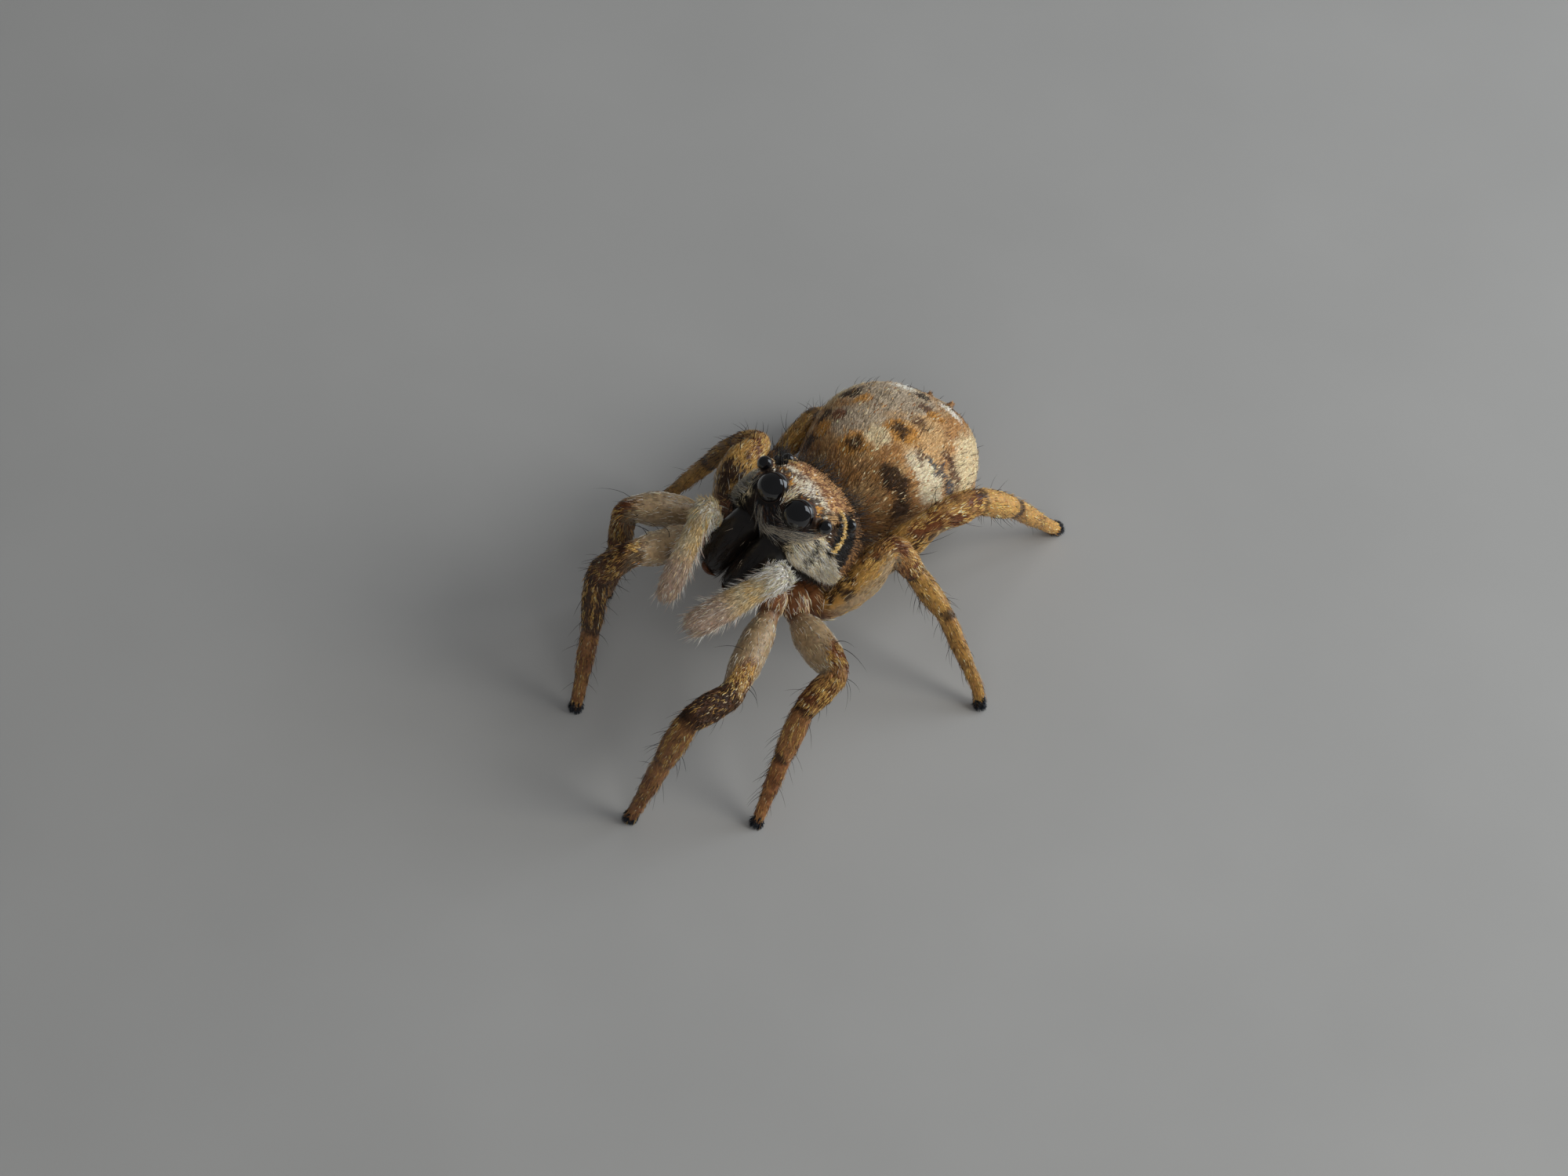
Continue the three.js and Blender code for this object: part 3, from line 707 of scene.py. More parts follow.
# ---- the coat ----
def scatter(form, count, rng, where=None):
    """Random spots over a form, more of them where the weight is larger."""
    grids = [form.grid(name) for name in Spots.FIELDS]
    corners = grids[0]
    area = np.linalg.norm(np.cross(corners[2] - corners[0], corners[3] - corners[1]), axis=1)
    if where:
        area = area * np.clip(where(Spots(*(grid.mean(axis=0) for grid in grids))), 0, None)
    quad = rng.choice(len(area), size=count, p=area / area.sum())
    s, t = rng.random(count), rng.random(count)
    weights = [(1 - s) * (1 - t), s * (1 - t), s * t, (1 - s) * t]
    return Spots(*(sum(weight[:, None] * grid[k][quad] for k, weight in enumerate(weights)) for grid in grids))


def settle(spots, tree, reach=0.03):
    """The spots moved onto the skin. Those further than reach from it, inside another part, are dropped."""
    kept = []
    for i, at in enumerate(spots.at):
        place, normal, _, _ = tree.find_nearest(at, reach)
        if place is not None:
            kept.append((i, *place, *normal))
    kept = np.array(kept)
    spots = spots.pick(kept[:, 0].astype(int))
    spots.at = kept[:, 1:4]
    spots.out = unit(spots.out + 0.6 * kept[:, 4:7])
    return spots


def spread(rng, value, count, share=0.25):
    """A column of values that differ from tuft to tuft."""
    return (np.asarray(value) * (1 + share * rng.uniform(-1, 1, count)))[:, None]


def headings(spots, rng, way=None, wander=0.2):
    """Unit vectors along the skin, the way the coat lies there, and square to that."""
    lie = spots.lie if way is None else way
    lie = lie + wander * rng.normal(size=lie.shape)
    lie = unit(lie - (lie * spots.out).sum(axis=1, keepdims=True) * spots.out)
    return lie, np.cross(spots.out, lie)


class Coat:
    """One piece of coat, gathered tuft by tuft. Each tuft's patch lies at its root's place on the unwrap of
    its own form, so in a coat of several forms their unwraps lie over one another."""

    PATCH = 0.003

    def __init__(self):
        self.points, self.faces, self.tints, self.uvs, self.smooth, self.count = [], [], [], [], [], 0

    def add(self, points, triangles, tint, spots, smooth):
        """points is (tufts, points in one, 3) and triangles index one tuft."""
        tufts, each = points.shape[:2]
        points[..., 2] = np.maximum(points[..., 2], LOWEST)
        starts = self.count + each * np.arange(tufts)
        self.points.append(points.reshape(-1, 3))
        self.faces.append((triangles[None] + starts[:, None, None]).reshape(-1, 3))
        self.tints.append(np.repeat(tint, each, axis=0))
        corner = np.stack([np.linspace(0, 1, each), np.arange(each) % 2], axis=-1) * self.PATCH
        self.uvs.append((np.clip(spots.uv, 0, 1 - self.PATCH)[:, None] + corner).reshape(-1, 2))
        self.smooth.append(np.full(tufts * len(triangles), smooth))
        self.count += tufts * each

    def scales(self, spots, rng, tint, length, width, rise, way=None, wander=0.18, ridge=0.22, roll=0.35):
        """Thin pointed flakes, each with a low ridge, closed underneath."""
        count = len(spots.at)
        lie, side = headings(spots, rng, way, wander)
        length, width = spread(rng, length, count), spread(rng, width, count)
        lifted = np.radians(spread(rng, rise, count, 0.6))
        side = unit(side + roll * rng.normal(size=(count, 1)) * spots.out)
        slope = lie * np.cos(lifted) + spots.out * np.sin(lifted)
        base = spots.at - 0.06 * length * spots.out
        wide_at = base + 0.45 * length * slope
        points = [base, wide_at - 0.5 * width * side, wide_at + 0.5 * width * side, base + length * slope,
                  wide_at + ridge * width * spots.out]
        triangles = np.array([[0, 2, 4], [2, 3, 4], [3, 1, 4], [1, 0, 4], [0, 1, 2], [1, 3, 2]])
        self.add(np.stack(points, axis=1), triangles, tint, spots, False)

    def hairs(self, spots, rng, tint, length, width, rise, bend=0.3, way=None, wander=0.2, parts=3, root=0.008):
        """Tapered three-sided hairs, rooted a little under the skin. bend curves the tip down to the skin."""
        count = len(spots.at)
        lie, side = headings(spots, rng, way, wander)
        length, width = spread(rng, length, count, 0.35), spread(rng, width, count)
        lifted = np.radians(spread(rng, rise, count, 0.35))
        start = lie * np.cos(lifted) + spots.out * np.sin(lifted)
        curl = bend * (lie - spots.out) + 0.12 * rng.normal(size=(count, 1)) * side
        front = unit(np.cross(start, side))
        points = []
        for k in range(parts):
            t = k / parts
            centre = spots.at + length * (t * start + t * t * curl) - (k == 0) * root * spots.out
            thick = 0.5 * width * (1 - t) ** 0.6
            for corner in range(3):
                angle = corner * 2 * math.pi / 3
                points.append(centre + thick * (math.cos(angle) * front + math.sin(angle) * side))
        points.append(spots.at + length * (start + curl))
        triangles = [[0, 2, 1]]
        for k in range(parts - 1):
            for corner in range(3):
                a, b = 3 * k + corner, 3 * k + (corner + 1) % 3
                triangles += [[a, b, b + 3], [a, b + 3, a + 3]]
        tip = 3 * parts
        triangles += [[tip - 3 + corner, tip - 3 + (corner + 1) % 3, tip] for corner in range(3)]
        self.add(np.stack(points, axis=1), np.array(triangles), tint, spots, True)

    def made(self, name):
        points, faces = np.vstack(self.points) * MM, np.vstack(self.faces)
        mesh = bpy.data.meshes.new(name)
        mesh.vertices.add(len(points))
        mesh.vertices.foreach_set("co", points.ravel())
        mesh.loops.add(faces.size)
        mesh.loops.foreach_set("vertex_index", faces.ravel())
        mesh.polygons.add(len(faces))
        mesh.polygons.foreach_set("loop_start", np.arange(0, faces.size, 3))
        mesh.polygons.foreach_set("use_smooth", np.concatenate(self.smooth))
        paint_points(mesh, np.vstack(self.tints))
        layer = mesh.uv_layers.new(name="OFBake")
        layer.data.foreach_set("uv", np.vstack(self.uvs)[faces.ravel()].ravel())
        mesh.update(calc_edges=True)
        return placed(name, mesh)


def varied(rng, tint, amount=0.16):
    """Colours that differ a little from tuft to tuft."""
    light = 1 + amount * rng.normal(size=(len(tint), 1))
    return np.clip(tint * np.clip(light, 0.45, 1.7), 0.003, 0.95)


def toned(rng, spots, **shares):
    """Colours drawn at random for each spot, by the shares of their names."""
    weights = np.array(list(shares.values()), float)
    drawn = rng.choice(len(weights), size=len(spots.at), p=weights / weights.sum())
    return varied(rng, np.array([HUE[name] for name in shares])[drawn])


class Bed:
    """One form's skin, where tufts are sown. Without a tree of the skin they stay on the form itself."""

    def __init__(self, form, tree, rng):
        self.form, self.tree, self.rng = form, tree, rng

    def own(self, share=0.0, *names, amount=0.16, light=1.0):
        """The form's own colours, with a share of the tufts in others."""
        def tint(spots):
            colours = self.form.look(spots) * light
            if names:
                chosen = self.rng.random(len(colours)) < (share(spots) if callable(share) else share)
                drawn = self.rng.integers(len(names), size=len(colours))
                colours = np.where(chosen[:, None], np.array([HUE[name] for name in names])[drawn], colours)
            return varied(self.rng, colours, amount)

        return tint

    def sow(self, make, count, where, tint, **style):
        """Makes tufts by one of a coat's methods. A style that is a function is asked at their spots."""
        spots = scatter(self.form, count, self.rng, where)
        if self.tree:
            spots = settle(spots, self.tree)
        tint = toned(self.rng, spots, **tint) if isinstance(tint, dict) else tint(spots)
        make(spots, self.rng, tint, **{name: value(spots) if callable(value) else value
                                       for name, value in style.items()})


def clear_of_eyes(places, margin):
    """1 where places in the head's own axes are off the lenses."""
    keep = np.ones(len(places))
    for sign in SIDES.values():
        for radius, (x, y, z) in EYES.values():
            keep *= np.linalg.norm(places - [sign * x, y, z], axis=1) > radius + margin
    return keep


def local_way(spots, sideways, forward, up):
    """Directions in the head's own axes."""
    parts = np.broadcast_arrays(sideways, forward, up, spots.x)[:3]
    return PROSOMA.direct(np.stack(parts, axis=-1))


def carapace_coat(bed):
    """Flat scales, short hairs, the white cheeks with painted shade on the far one, the strands on the face and dark
    bristles, among them a black fringe that is partly painted shade.
    """
    scales, hairs, face, rng = Coat(), Coat(), Coat(), bed.rng

    def cover(s):
        bare = ramp(s.y, 1.04, 0.06) * ramp(0.46 - s.z, 0, 0.08)
        return clear_of_eyes(s.place, 0.004) * (1 - bare) * ramp(s.z, -0.34, 0.05)

    def crown(s):
        return ramp(s.z, 0.35, 0.2) * (1 - ramp(s.y, 0.98, 0.06))

    def brow(s):
        return (band(s.y, 0.72, 0.96, 0.1) * (0.2 + (s.x < 0)) * ramp(s.z, 0.5, 0.05)
                * ramp(np.abs(s.x), 0.4, 0.1) * clear_of_eyes(s.place, 0.01))

    def off_flank(s):
        """The share of flecks, which the sides of the head behind the face have none of."""
        return 0.06 * ((s.y > 0.66) | (np.abs(s.x) < 0.46))

    bed.sow(scales.scales, 20000, cover, bed.own(off_flank, "white", "rust", "gold"),
            length=0.075, width=0.026, rise=11)
    bed.sow(scales.scales, 460, lambda s: gold_line(s, 0.01) * clear_of_eyes(s.place, 0.01), dict(gold=3, cream=1),
            length=0.06, width=0.024, rise=12)
    bed.sow(hairs.hairs, 2600, lambda s: clear_of_eyes(s.place, 0.05) * crown(s), bed.own(),
            length=0.09, rise=24, width=0.009)
    bed.sow(hairs.hairs, 230, lambda s: clear_of_eyes(s.place, 0.03) * crown(s) * band(s.y, -0.5, 0.35, 0.2),
            dict(black=1), length=0.32, rise=50, bend=0.1, width=0.008)
    bed.sow(hairs.hairs, 40, brow, dict(black=1), length=0.34, rise=70, bend=0.0, width=0.011)
    bed.sow(hairs.hairs, 1500, lambda s: 1 - ramp(s.y, -0.1, 0.3), dict(dark=3, tan=2, black=1),
            length=0.16, rise=32, width=0.01)

    def cheeks(s):
        return (clear_of_eyes(s.place, 0.045) * ramp(np.abs(s.x), 0.45, 0.08)
                * ramp(cheek_top(s.y) - s.z, 0.02, 0.04) * ramp(s.y, 0.1, 0.2) * ramp(s.z, -0.22, 0.04))

    def cheek_tint_with_painted_shade(s):
        tint = mix(toned(rng, s, white=6, cream=3, grey=1), "black", cheek_streaks(s))
        # Painted shade: three in four hairs on the front of the far cheek, the spider's right, are darkened most of
        # the way to black.
        far = ramp(-s.x, 0, 0.1) * ramp(s.y, 0.7, 0.1)
        return mix(tint, "black", 0.7 * far * (rng.random(len(far)) < 0.75))

    bed.sow(face.hairs, 4600, cheeks, cheek_tint_with_painted_shade, length=0.22, rise=7, bend=0.03, width=0.0095,
            way=lambda s: local_way(s, 0.4 * np.sign(s.x), -0.8, -0.25), wander=0.1)

    def clypeus(s):
        return (clear_of_eyes(s.place, 0.006) * ramp(s.y, 1.0, 0.04) * ramp(0.34 - s.z, 0, 0.1)
                * ramp(0.56 - np.abs(s.x), 0, 0.1))

    def to_middle(s):
        """Down from beside the right main eye to the middle of the face, and up from there to the left."""
        return local_way(s, 1.0, 0.0, np.clip(s.x / 0.09, -1, 0.6))

    def below_corner(s):
        """Distance past the two slanting lines of strands that meet under the eyes."""
        return EYES["main"][1][2] - s.z + np.maximum(-s.x, 0.6 * s.x) - 0.54

    def strands(s):
        return (clypeus(s) * ramp(-below_corner(s), 0, 0.04) * (0.3 + ramp(below_corner(s), -0.16, 0.08))
                * (0.45 + 0.55 * (s.x > -0.03)))

    def strand_tint(s):
        return toned(rng, s, grey=4, slate=2) * [0.85, 0.92, 1.0] * (1 + 0.5 * ramp(s.x, 0.0, 0.1))[:, None]

    bed.sow(face.hairs, 340, strands, strand_tint, length=0.27, rise=3, bend=0.0, width=0.006, way=to_middle,
            wander=0.06, parts=4)
    bed.sow(face.hairs, 1100, clypeus,
            lambda s: mix(toned(rng, s, brown=3, slate=2, black=4), "black", 0.92 * ramp(below_corner(s), 0.0, 0.04)),
            length=0.09, rise=8, width=0.009, way=to_middle)
    # Black hairs hanging from the lower edge of the head in front: a fringe that is partly real and partly painted
    # shade under the edge.
    bed.sow(face.hairs, 900,
            lambda s: band(s.z, -0.36, -0.2, 0.04) * band(s.y, 0.25, 1.12, 0.1) * ramp(np.abs(s.x), 0.34, 0.1),
            dict(black=4, dark=1), length=0.3, rise=22, bend=0.05, width=0.012,
            way=lambda s: local_way(s, 0.1 * np.sign(s.x), -0.25, -1.0))
    bed.sow(face.hairs, 260, lambda s: clear_of_eyes(s.place, 0.02) * ramp(s.y, 1.05, 0.05)
            * band(s.z, 0.3, 0.62, 0.1) * ramp(0.16 - np.abs(s.x), 0, 0.05),
            dict(cream=3, white=2, rust=1), length=0.08, rise=20, width=0.012)
    return {"carapace_scales": (scales, "scales"), "carapace_hairs": (hairs, "bristles"),
            "face_hairs": (face, "scales")}


def socket_coat(beds):
    """Brown and cream scales on the upper backs of the mounds that the eyes sit in."""
    coat = Coat()
    for bed in beds:
        middle = PROSOMA.local(bed.form.at.reshape(-1, 3)).mean(axis=0)

        def behind(s):
            local = PROSOMA.local(s.at)
            return ramp(local[:, 2] - middle[2], 0.0, 0.05) * clear_of_eyes(local, 0.012)

        bed.sow(coat.scales, 260, behind, dict(rust=3, bark=3, cream=2, sand=1), length=0.06, width=0.02, rise=12,
                way=lambda s: local_way(s, 0.0, -1.0, 0.3))
    return {"socket_scales": (coat, "scales")}


def abdomen_coat(bed):
    front, rear, hairs = Coat(), Coat(), Coat()
    for coat, low, high in ((front, 0.15, np.inf), (rear, -np.inf, 0.15)):
        bed.sow(coat.scales, 17000, lambda s: (s.y > low) * (s.y <= high) * 1.0,
                bed.own(0.08, "sand", "cream", "orange"), length=0.09, width=0.032, rise=8)
    bed.sow(hairs.hairs, 6500, None, bed.own(0.2, "cream", "sand", "brown"), length=0.13, rise=22, width=0.009)
    bed.sow(hairs.hairs, 420, lambda s: 0.3 + 3 * ramp(s.y, 1.2, 0.4), dict(dark=2, black=1),
            length=0.22, rise=42, width=0.008)
    return {"abdomen_scales_front": (front, "scales"), "abdomen_scales_rear": (rear, "scales"),
            "abdomen_hairs": (hairs, "bristles")}


def leg_coat(bed):
    """Scales in the leg's own colours and in gold, pale and fine hairs, bristles and the pad of the foot."""
    scales, hairs, look = Coat(), Coat(), bed.form.look
    hind = look.hind

    def scaled(s):
        onset = 1.4 if hind else 1.98 + look.bare
        thin = 1 - 0.6 * ramp(s.x, 3.05, 0.1)
        return (0.05 + ramp(s.x + 0.35 * s.y, onset, 0.3)) * thin * band(s.x, 0.9, 4.96, 0.05)

    def slim(s):
        return 1 - 0.3 * ramp(s.x, 3.0, 0.5)

    bed.sow(scales.scales, 2600, scaled, bed.own(amount=0.22, light=0.9),
            length=lambda s: 0.085 * slim(s), width=lambda s: 0.022 * slim(s), rise=8)
    bed.sow(scales.scales, 330, lambda s: band(s.x, 1.94, 3.1, 0.1) * ramp(0.4 - s.y, 0, 0.5),
            bed.own(0.3, "amber", "orange", "brown", amount=0.2), length=0.085, width=0.024, rise=9)

    def gilded(s):
        """Golden scales lie in patches on top, and in loose rows along the tibia and the foot."""
        place, dorsal, lateral = s.place.T
        onset = 1.6 if hind else 2.04 + look.bare
        patch = cloud(s.at, 0.1, 25)
        bars = 1 - 0.97 * (band(place, 1.97, 2.05, 0.03) + band(place, 2.86, 3.06, 0.06)
                           + band(place, 3.88, 4.04, 0.05))
        rows = ramp(np.cos(7 * np.arctan2(lateral, dorsal)), 0.2, 0.6)
        far = ramp(place, 3.02, 0.1)
        lush = ramp(patch, 0.5, 0.12) * (1 - far) + (1.1 if hind else 0.5) * rows * ramp(patch, 0.35, 0.3) * far
        lush = lush * (1 - 0.95 * look.patella_shade * band(place, 2.04, 3.0, 0.1))
        return (ramp(place + 0.4 * dorsal, onset, 0.16) * ramp(dorsal, -0.3, 0.5) * bars * lush
                * ramp(4.9 - place, 0, 0.1) * (1 - 0.4 * ramp(place, 4.0, 0.2)))

    def gilt(s):
        tint = toned(bed.rng, s, gold=4, cream=1.2, straw=4, amber=1) * (1 if hind else 0.85)
        return np.clip(tint * (1 + (look.tone - 1) * ramp(s.x, 2.3, 0.6))[:, None], 0, 0.95)

    def slimmer(s):
        return 1 - 0.35 * ramp(s.x, 3.4, 0.8)

    bed.sow(scales.scales, 1600 if hind else 1100, gilded, gilt,
            length=lambda s: 0.1 * slimmer(s), width=lambda s: 0.015 * slimmer(s), rise=9)
    tufts = [
        # Pale hairs of the femur, its tufts, and the fine hairs beyond it.
        (300, lambda s: band(s.x, 0.3, 2.0, 0.2), dict(sand=3, gold=2, cream=1) if hind else dict(white=3, cream=2),
         dict(length=0.1, rise=14, width=0.008)),
        (120, lambda s: band(s.x, 0.2, 1.25, 0.1) * (cloud(s.at, 0.09, 26) > 0.57), dict(white=1, cream=3, sand=3),
         dict(length=0.13, rise=10, width=0.013)),
        (420, lambda s: ramp(s.x, 2.0, 0.2) * ramp(4.95 - s.x, 0, 0.1), dict(dark=3, amber=3, gold=1),
         dict(length=0.1, rise=26, width=0.008)),
        # Long bristles, those over the knee, and the pad.
        (46, lambda s: band(s.x, 2.3, 4.6, 0.3) * (1.3 - s.y), dict(dark=1, black=1),
         dict(length=0.26, rise=46, bend=0.14, width=0.007, parts=4)),
        (7, lambda s: band(s.x, 1.5, 2.2, 0.1) * ramp(s.y, 0.4, 0.3), dict(black=1),
         dict(length=0.38, rise=62, width=0.01, parts=5)),
        (260, lambda s: ramp(s.x, 4.9, 0.06), dict(ink=3, slate=1),
         dict(length=0.05, rise=40, bend=0.0, width=0.012, wander=0.5)),
    ]
    for count, where, shades, style in tufts:
        bed.sow(hairs.hairs, count, where, shades, **style)
    return {f"{bed.form.name}_scales": (scales, "scales"), f"{bed.form.name}_hairs": (hairs, "bristles")}


def palp_coat(bed):
    coat = Coat()
    # The long hairs of the left palp are whiter and lightened by a quarter, painted light on a tuft that lies in
    # shade; those of the right palp are cream and gold, darkened by a fifth.
    shades, light = (dict(white=4, cream=1), 1.25) if bed.form.name == "palp_left" else (dict(cream=3, gold=1), 0.8)
    bed.sow(coat.hairs, 2600, lambda s: ramp(s.x, 0.05, 0.1), bed.own(0.22, "white", "cream", amount=0.1),
            length=0.1, rise=24, width=0.012, bend=0.2)
    bed.sow(coat.scales, 1300, lambda s: band(s.x, 0.05, 1.6, 0.2) * ramp(s.y, -0.3, 0.5), bed.own(),
            length=0.1, width=0.024, rise=12)
    bed.sow(coat.hairs, 420, lambda s: band(s.x, 0.5, 1.12, 0.15),
            lambda s: np.minimum(toned(bed.rng, s, **shades) * light, 0.97),
            length=0.17, rise=22, width=0.014, bend=0.12)
    bed.sow(coat.hairs, 420, lambda s: ramp(s.x, 0.8, 0.4) * ramp(-s.y, 0.0, 0.5), dict(white=3, pink=1),
            length=0.19, rise=36, width=0.009, bend=0.05)
    return {f"{bed.form.name}_coat": (coat, "palp")}


def belly_coat(beds):
    coat = Coat()
    for bed in beds:
        if bed.form.name in ("sternum", "mouth"):
            count, shades, length = 500, dict(grey=1, brown=2, dark=4), 0.1
        else:
            count, shades, length = 130, dict(sand=1, tan=2, brown=2), 0.045
        bed.sow(coat.hairs, count, None, shades, length=length, rise=28, width=0.012)
    return {"underside_hairs": (coat, "bristles")}


# ---- eyes, jaws and claws ----
def lens_shape(centre, radius, rings=28, sides=48):
    """A ball lens as (points, faces), with its poles closed."""
    ball = unit_ball(np.linspace(0, math.pi, rings + 2)[1:-1], sides)
    points = np.vstack([ball.reshape(-1, 3), [[0, 0, 1], [0, 0, -1]]])
    index, faces = sleeve(rings, sides)
    ahead = np.roll(index, -1, axis=1)
    faces += [[rings * sides, a, b] for a, b in zip(index[0], ahead[0])]
    faces += [[rings * sides + 1, b, a] for a, b in zip(index[-1], ahead[-1])]
    return centre + radius * points, faces


def ring_shape(centre, axis, radius, thick, sides=72, round_sides=12):
    """A thin ring round an axis as (points, faces)."""
    helper = np.array([0, 0, 1.0]) if abs(axis[2]) < 0.9 else np.array([1.0, 0, 0])
    first = unit(np.cross(axis, helper))
    second = np.cross(axis, first)
    a, b = circle(sides)[:, None], circle(round_sides)[None]
    away = np.cos(a)[..., None] * first + np.sin(a)[..., None] * second
    points = centre + away * (radius + thick * np.cos(b))[..., None] + axis * (thick * np.sin(b))[..., None]
    index = np.arange(sides * round_sides).reshape(sides, round_sides)
    ahead = np.roll(index, -1, axis=0)
    faces = np.stack([index, np.roll(index, -1, 1), np.roll(ahead, -1, 1), ahead], axis=-1).reshape(-1, 4)
    return points.reshape(-1, 3), faces.tolist()


def spike_shape(points, radii, sides=12, count=24):
    """A curved pointed shape through some points, as (points, faces)."""
    line = spline(np.arange(len(points)), np.array(points), np.linspace(0, len(points) - 1, count))
    size = np.interp(np.linspace(0, 1, count), np.linspace(0, 1, len(radii)), radii)
    along = unit(np.gradient(line, axis=0))
    first = unit(np.cross(along, [0.3, 0.5, 0.81]))
    second = np.cross(along, first)
    angle = circle(sides)[None, :, None]
    ring = np.cos(angle) * first[:, None] + np.sin(angle) * second[:, None]
    return Form("spike", line[:, None] + size[:, None, None] * ring, ring, None).closed()


def eye_places():
    for sign in SIDES.values():
        for kind, (radius, (x, y, z)) in EYES.items():
            yield kind, sign, radius, PROSOMA.place([sign * x, y, z])


# Which way each rim faces, [sideways, forward, up], how far down its lens it lies, and how thick it is.
EYE_LOOKS = {"main": [0.1, 1, -0.05], "side": [0.55, 0.83, 0.05], "rear": [0.93, -0.15, 0.33], "tiny": [0.9, 0.2, 0.4]}
RIM_TILT, RIM_THICKNESS = math.radians(66), 0.035


def make_eyes():
    lenses, rims = [], []
    for kind, sign, radius, centre in eye_places():
        lenses.append(lens_shape(centre, radius))
        x, y, z = EYE_LOOKS[kind]
        axis = unit(PROSOMA.direct([sign * x, y, z]))
        rims.append(ring_shape(centre + radius * math.cos(RIM_TILT) * axis, axis, radius * math.sin(RIM_TILT),
                               RIM_THICKNESS * radius))
    return add_mesh("eyes", *join(lenses)), add_mesh("eye_rims", *join(rims))


def chelicera_form(sign):
    rows = np.array(CHELICERA)
    height, sideways, forward, wide, deep = spline(
        np.arange(len(rows)), rows, np.linspace(0, len(rows) - 1, 60)).T[..., None]
    x = sign * sideways + wide * np.cos(circle(48))
    place = np.stack([x, forward + deep * np.sin(circle(48)), height + 0 * x], axis=-1)
    return Form("jaw", PROSOMA.place(place), place, None)


# The fang's line, [sideways, forward, up], with its radii, and the radii of a claw.
FANG = [[0.27, 0.9, -0.97], [0.24, 0.97, -1.05], [0.15, 0.95, -1.08], [0.06, 0.88, -1.06]]
FANG_RADII, CLAW_RADII = [0.05, 0.045, 0.03, 0.004], [0.016, 0.013, 0.002]


def make_jaws(rng):
    forms = [chelicera_form(sign) for sign in SIDES.values()]
    jaws = add_mesh("chelicerae", *join([form.closed() for form in forms]))
    fangs = [spike_shape([PROSOMA.place([sign * x, y, z]) for x, y, z in FANG], FANG_RADII)
             for sign in SIDES.values()]
    coat = Coat()
    for form in forms:
        Bed(form, None, rng).sow(
            coat.hairs, 420, lambda s: ramp(s.z, -1.0, 0.05) * ramp(-s.z, 0.35, 0.4),
            dict(black=7, dark=3, grey=0.4), length=0.12, rise=16, width=0.007,
            way=lambda s: local_way(s, 0.0, 0.1, -1.0), wander=0.25)
    return jaws, add_mesh("fangs", *join(fangs)), coat.made("chelicera_hairs")


def make_claws():
    shapes = []
    for name in LEGS:
        *_, ankle, ground = leg_points(name)
        along = unit(ground - ankle)
        level = unit(along * [1, 1, 0])
        side = np.array([-level[1], level[0], 0])
        for sign in SIDES.values():
            foot = ground - 0.12 * along + 0.035 * sign * side + [0, 0, 0.04]
            route = [foot, foot + 0.07 * level + [0, 0, 0.01], foot + 0.11 * level + [0, 0, -0.03]]
            shapes.append(spike_shape(route, CLAW_RADII, sides=8))
    return add_mesh("claws", *join(shapes))


# ---- materials ----
def fill(node, settings):
    """Sets a node's inputs by their names, with underscores for spaces."""
    for name, value in settings.items():
        node.inputs[name.replace("_", " ")].default_value = value
    return node


class Surface:
    """A material: a principled shader, varied by noise in object space. Sizes are in millimetres."""

    def __init__(self, name, **settings):
        self.material = bpy.data.materials.new(name)
        self.material.use_nodes = True
        self.nodes, self.links = self.material.node_tree.nodes, self.material.node_tree.links
        self.shader = fill(self.nodes["Principled BSDF"], settings)

    def add(self, kind, **settings):
        return fill(self.nodes.new("ShaderNode" + kind), settings)

    def noise(self, size, detail=3):
        """A noise texture whose features are about size wide."""
        coordinates = self.add("TexCoord")
        texture = self.add("TexNoise", Scale=1 / (size * MM), Detail=detail)
        self.links.new(coordinates.outputs["Object"], texture.inputs["Vector"])
        return texture.outputs["Fac"]

    def spread_to(self, value, low, high, wanted):
        remap = self.add("MapRange", From_Min=0.3, From_Max=0.7, To_Min=low, To_Max=high)
        self.links.new(value, remap.inputs["Value"])
        self.links.new(remap.outputs["Result"], wanted)

    def tinted(self, size, low, high, colour=None):
        """Base colour: the tint attribute, or one colour, lightened and darkened by a texture."""
        value = self.noise(size)
        if colour is None:
            source = self.add("Attribute")
            source.attribute_name = "tint"
        scale = self.add("VectorMath")
        scale.operation = "SCALE"
        if colour is None:
            self.links.new(source.outputs["Color"], scale.inputs[0])
        else:
            scale.inputs[0].default_value = colour
        self.spread_to(value, low, high, scale.inputs["Scale"])
        self.links.new(scale.outputs["Vector"], self.shader.inputs["Base Color"])

    def rough(self, size, low, high):
        self.spread_to(self.noise(size), low, high, self.shader.inputs["Roughness"])

    def bumped(self, size, detail, height):
        value = self.noise(size, detail)
        bump = self.add("Bump", Distance=height * MM, Strength=0.6)
        self.links.new(value, bump.inputs["Height"])
        self.links.new(bump.outputs["Normal"], self.shader.inputs["Normal"])


def cuticle_material(name, roughness, soft, depth):
    """Skin: mottled, finely wrinkled and, where it is thin, a little translucent."""
    made = Surface(name, Roughness=roughness, Subsurface_Weight=soft, Subsurface_Radius=(1.0, 0.5, 0.25),
                   Subsurface_Scale=depth * MM)
    made.tinted(0.06, 0.6, 1.15)
    made.rough(0.09, roughness - 0.08, roughness + 0.1)
    made.bumped(0.02, 4, 0.006)
    return made.material


def coat_material(name, roughness, sheen, spec=0.5):
    """Scales or hairs: silky, each in its own colour, with light streaks."""
    made = Surface(name, Specular_IOR_Level=spec, Sheen_Weight=sheen, Sheen_Roughness=0.4)
    made.tinted(0.03, 0.8, 1.15)
    made.rough(0.05, roughness - 0.08, roughness + 0.1)
    made.bumped(0.008, 2, 0.002)
    return made.material


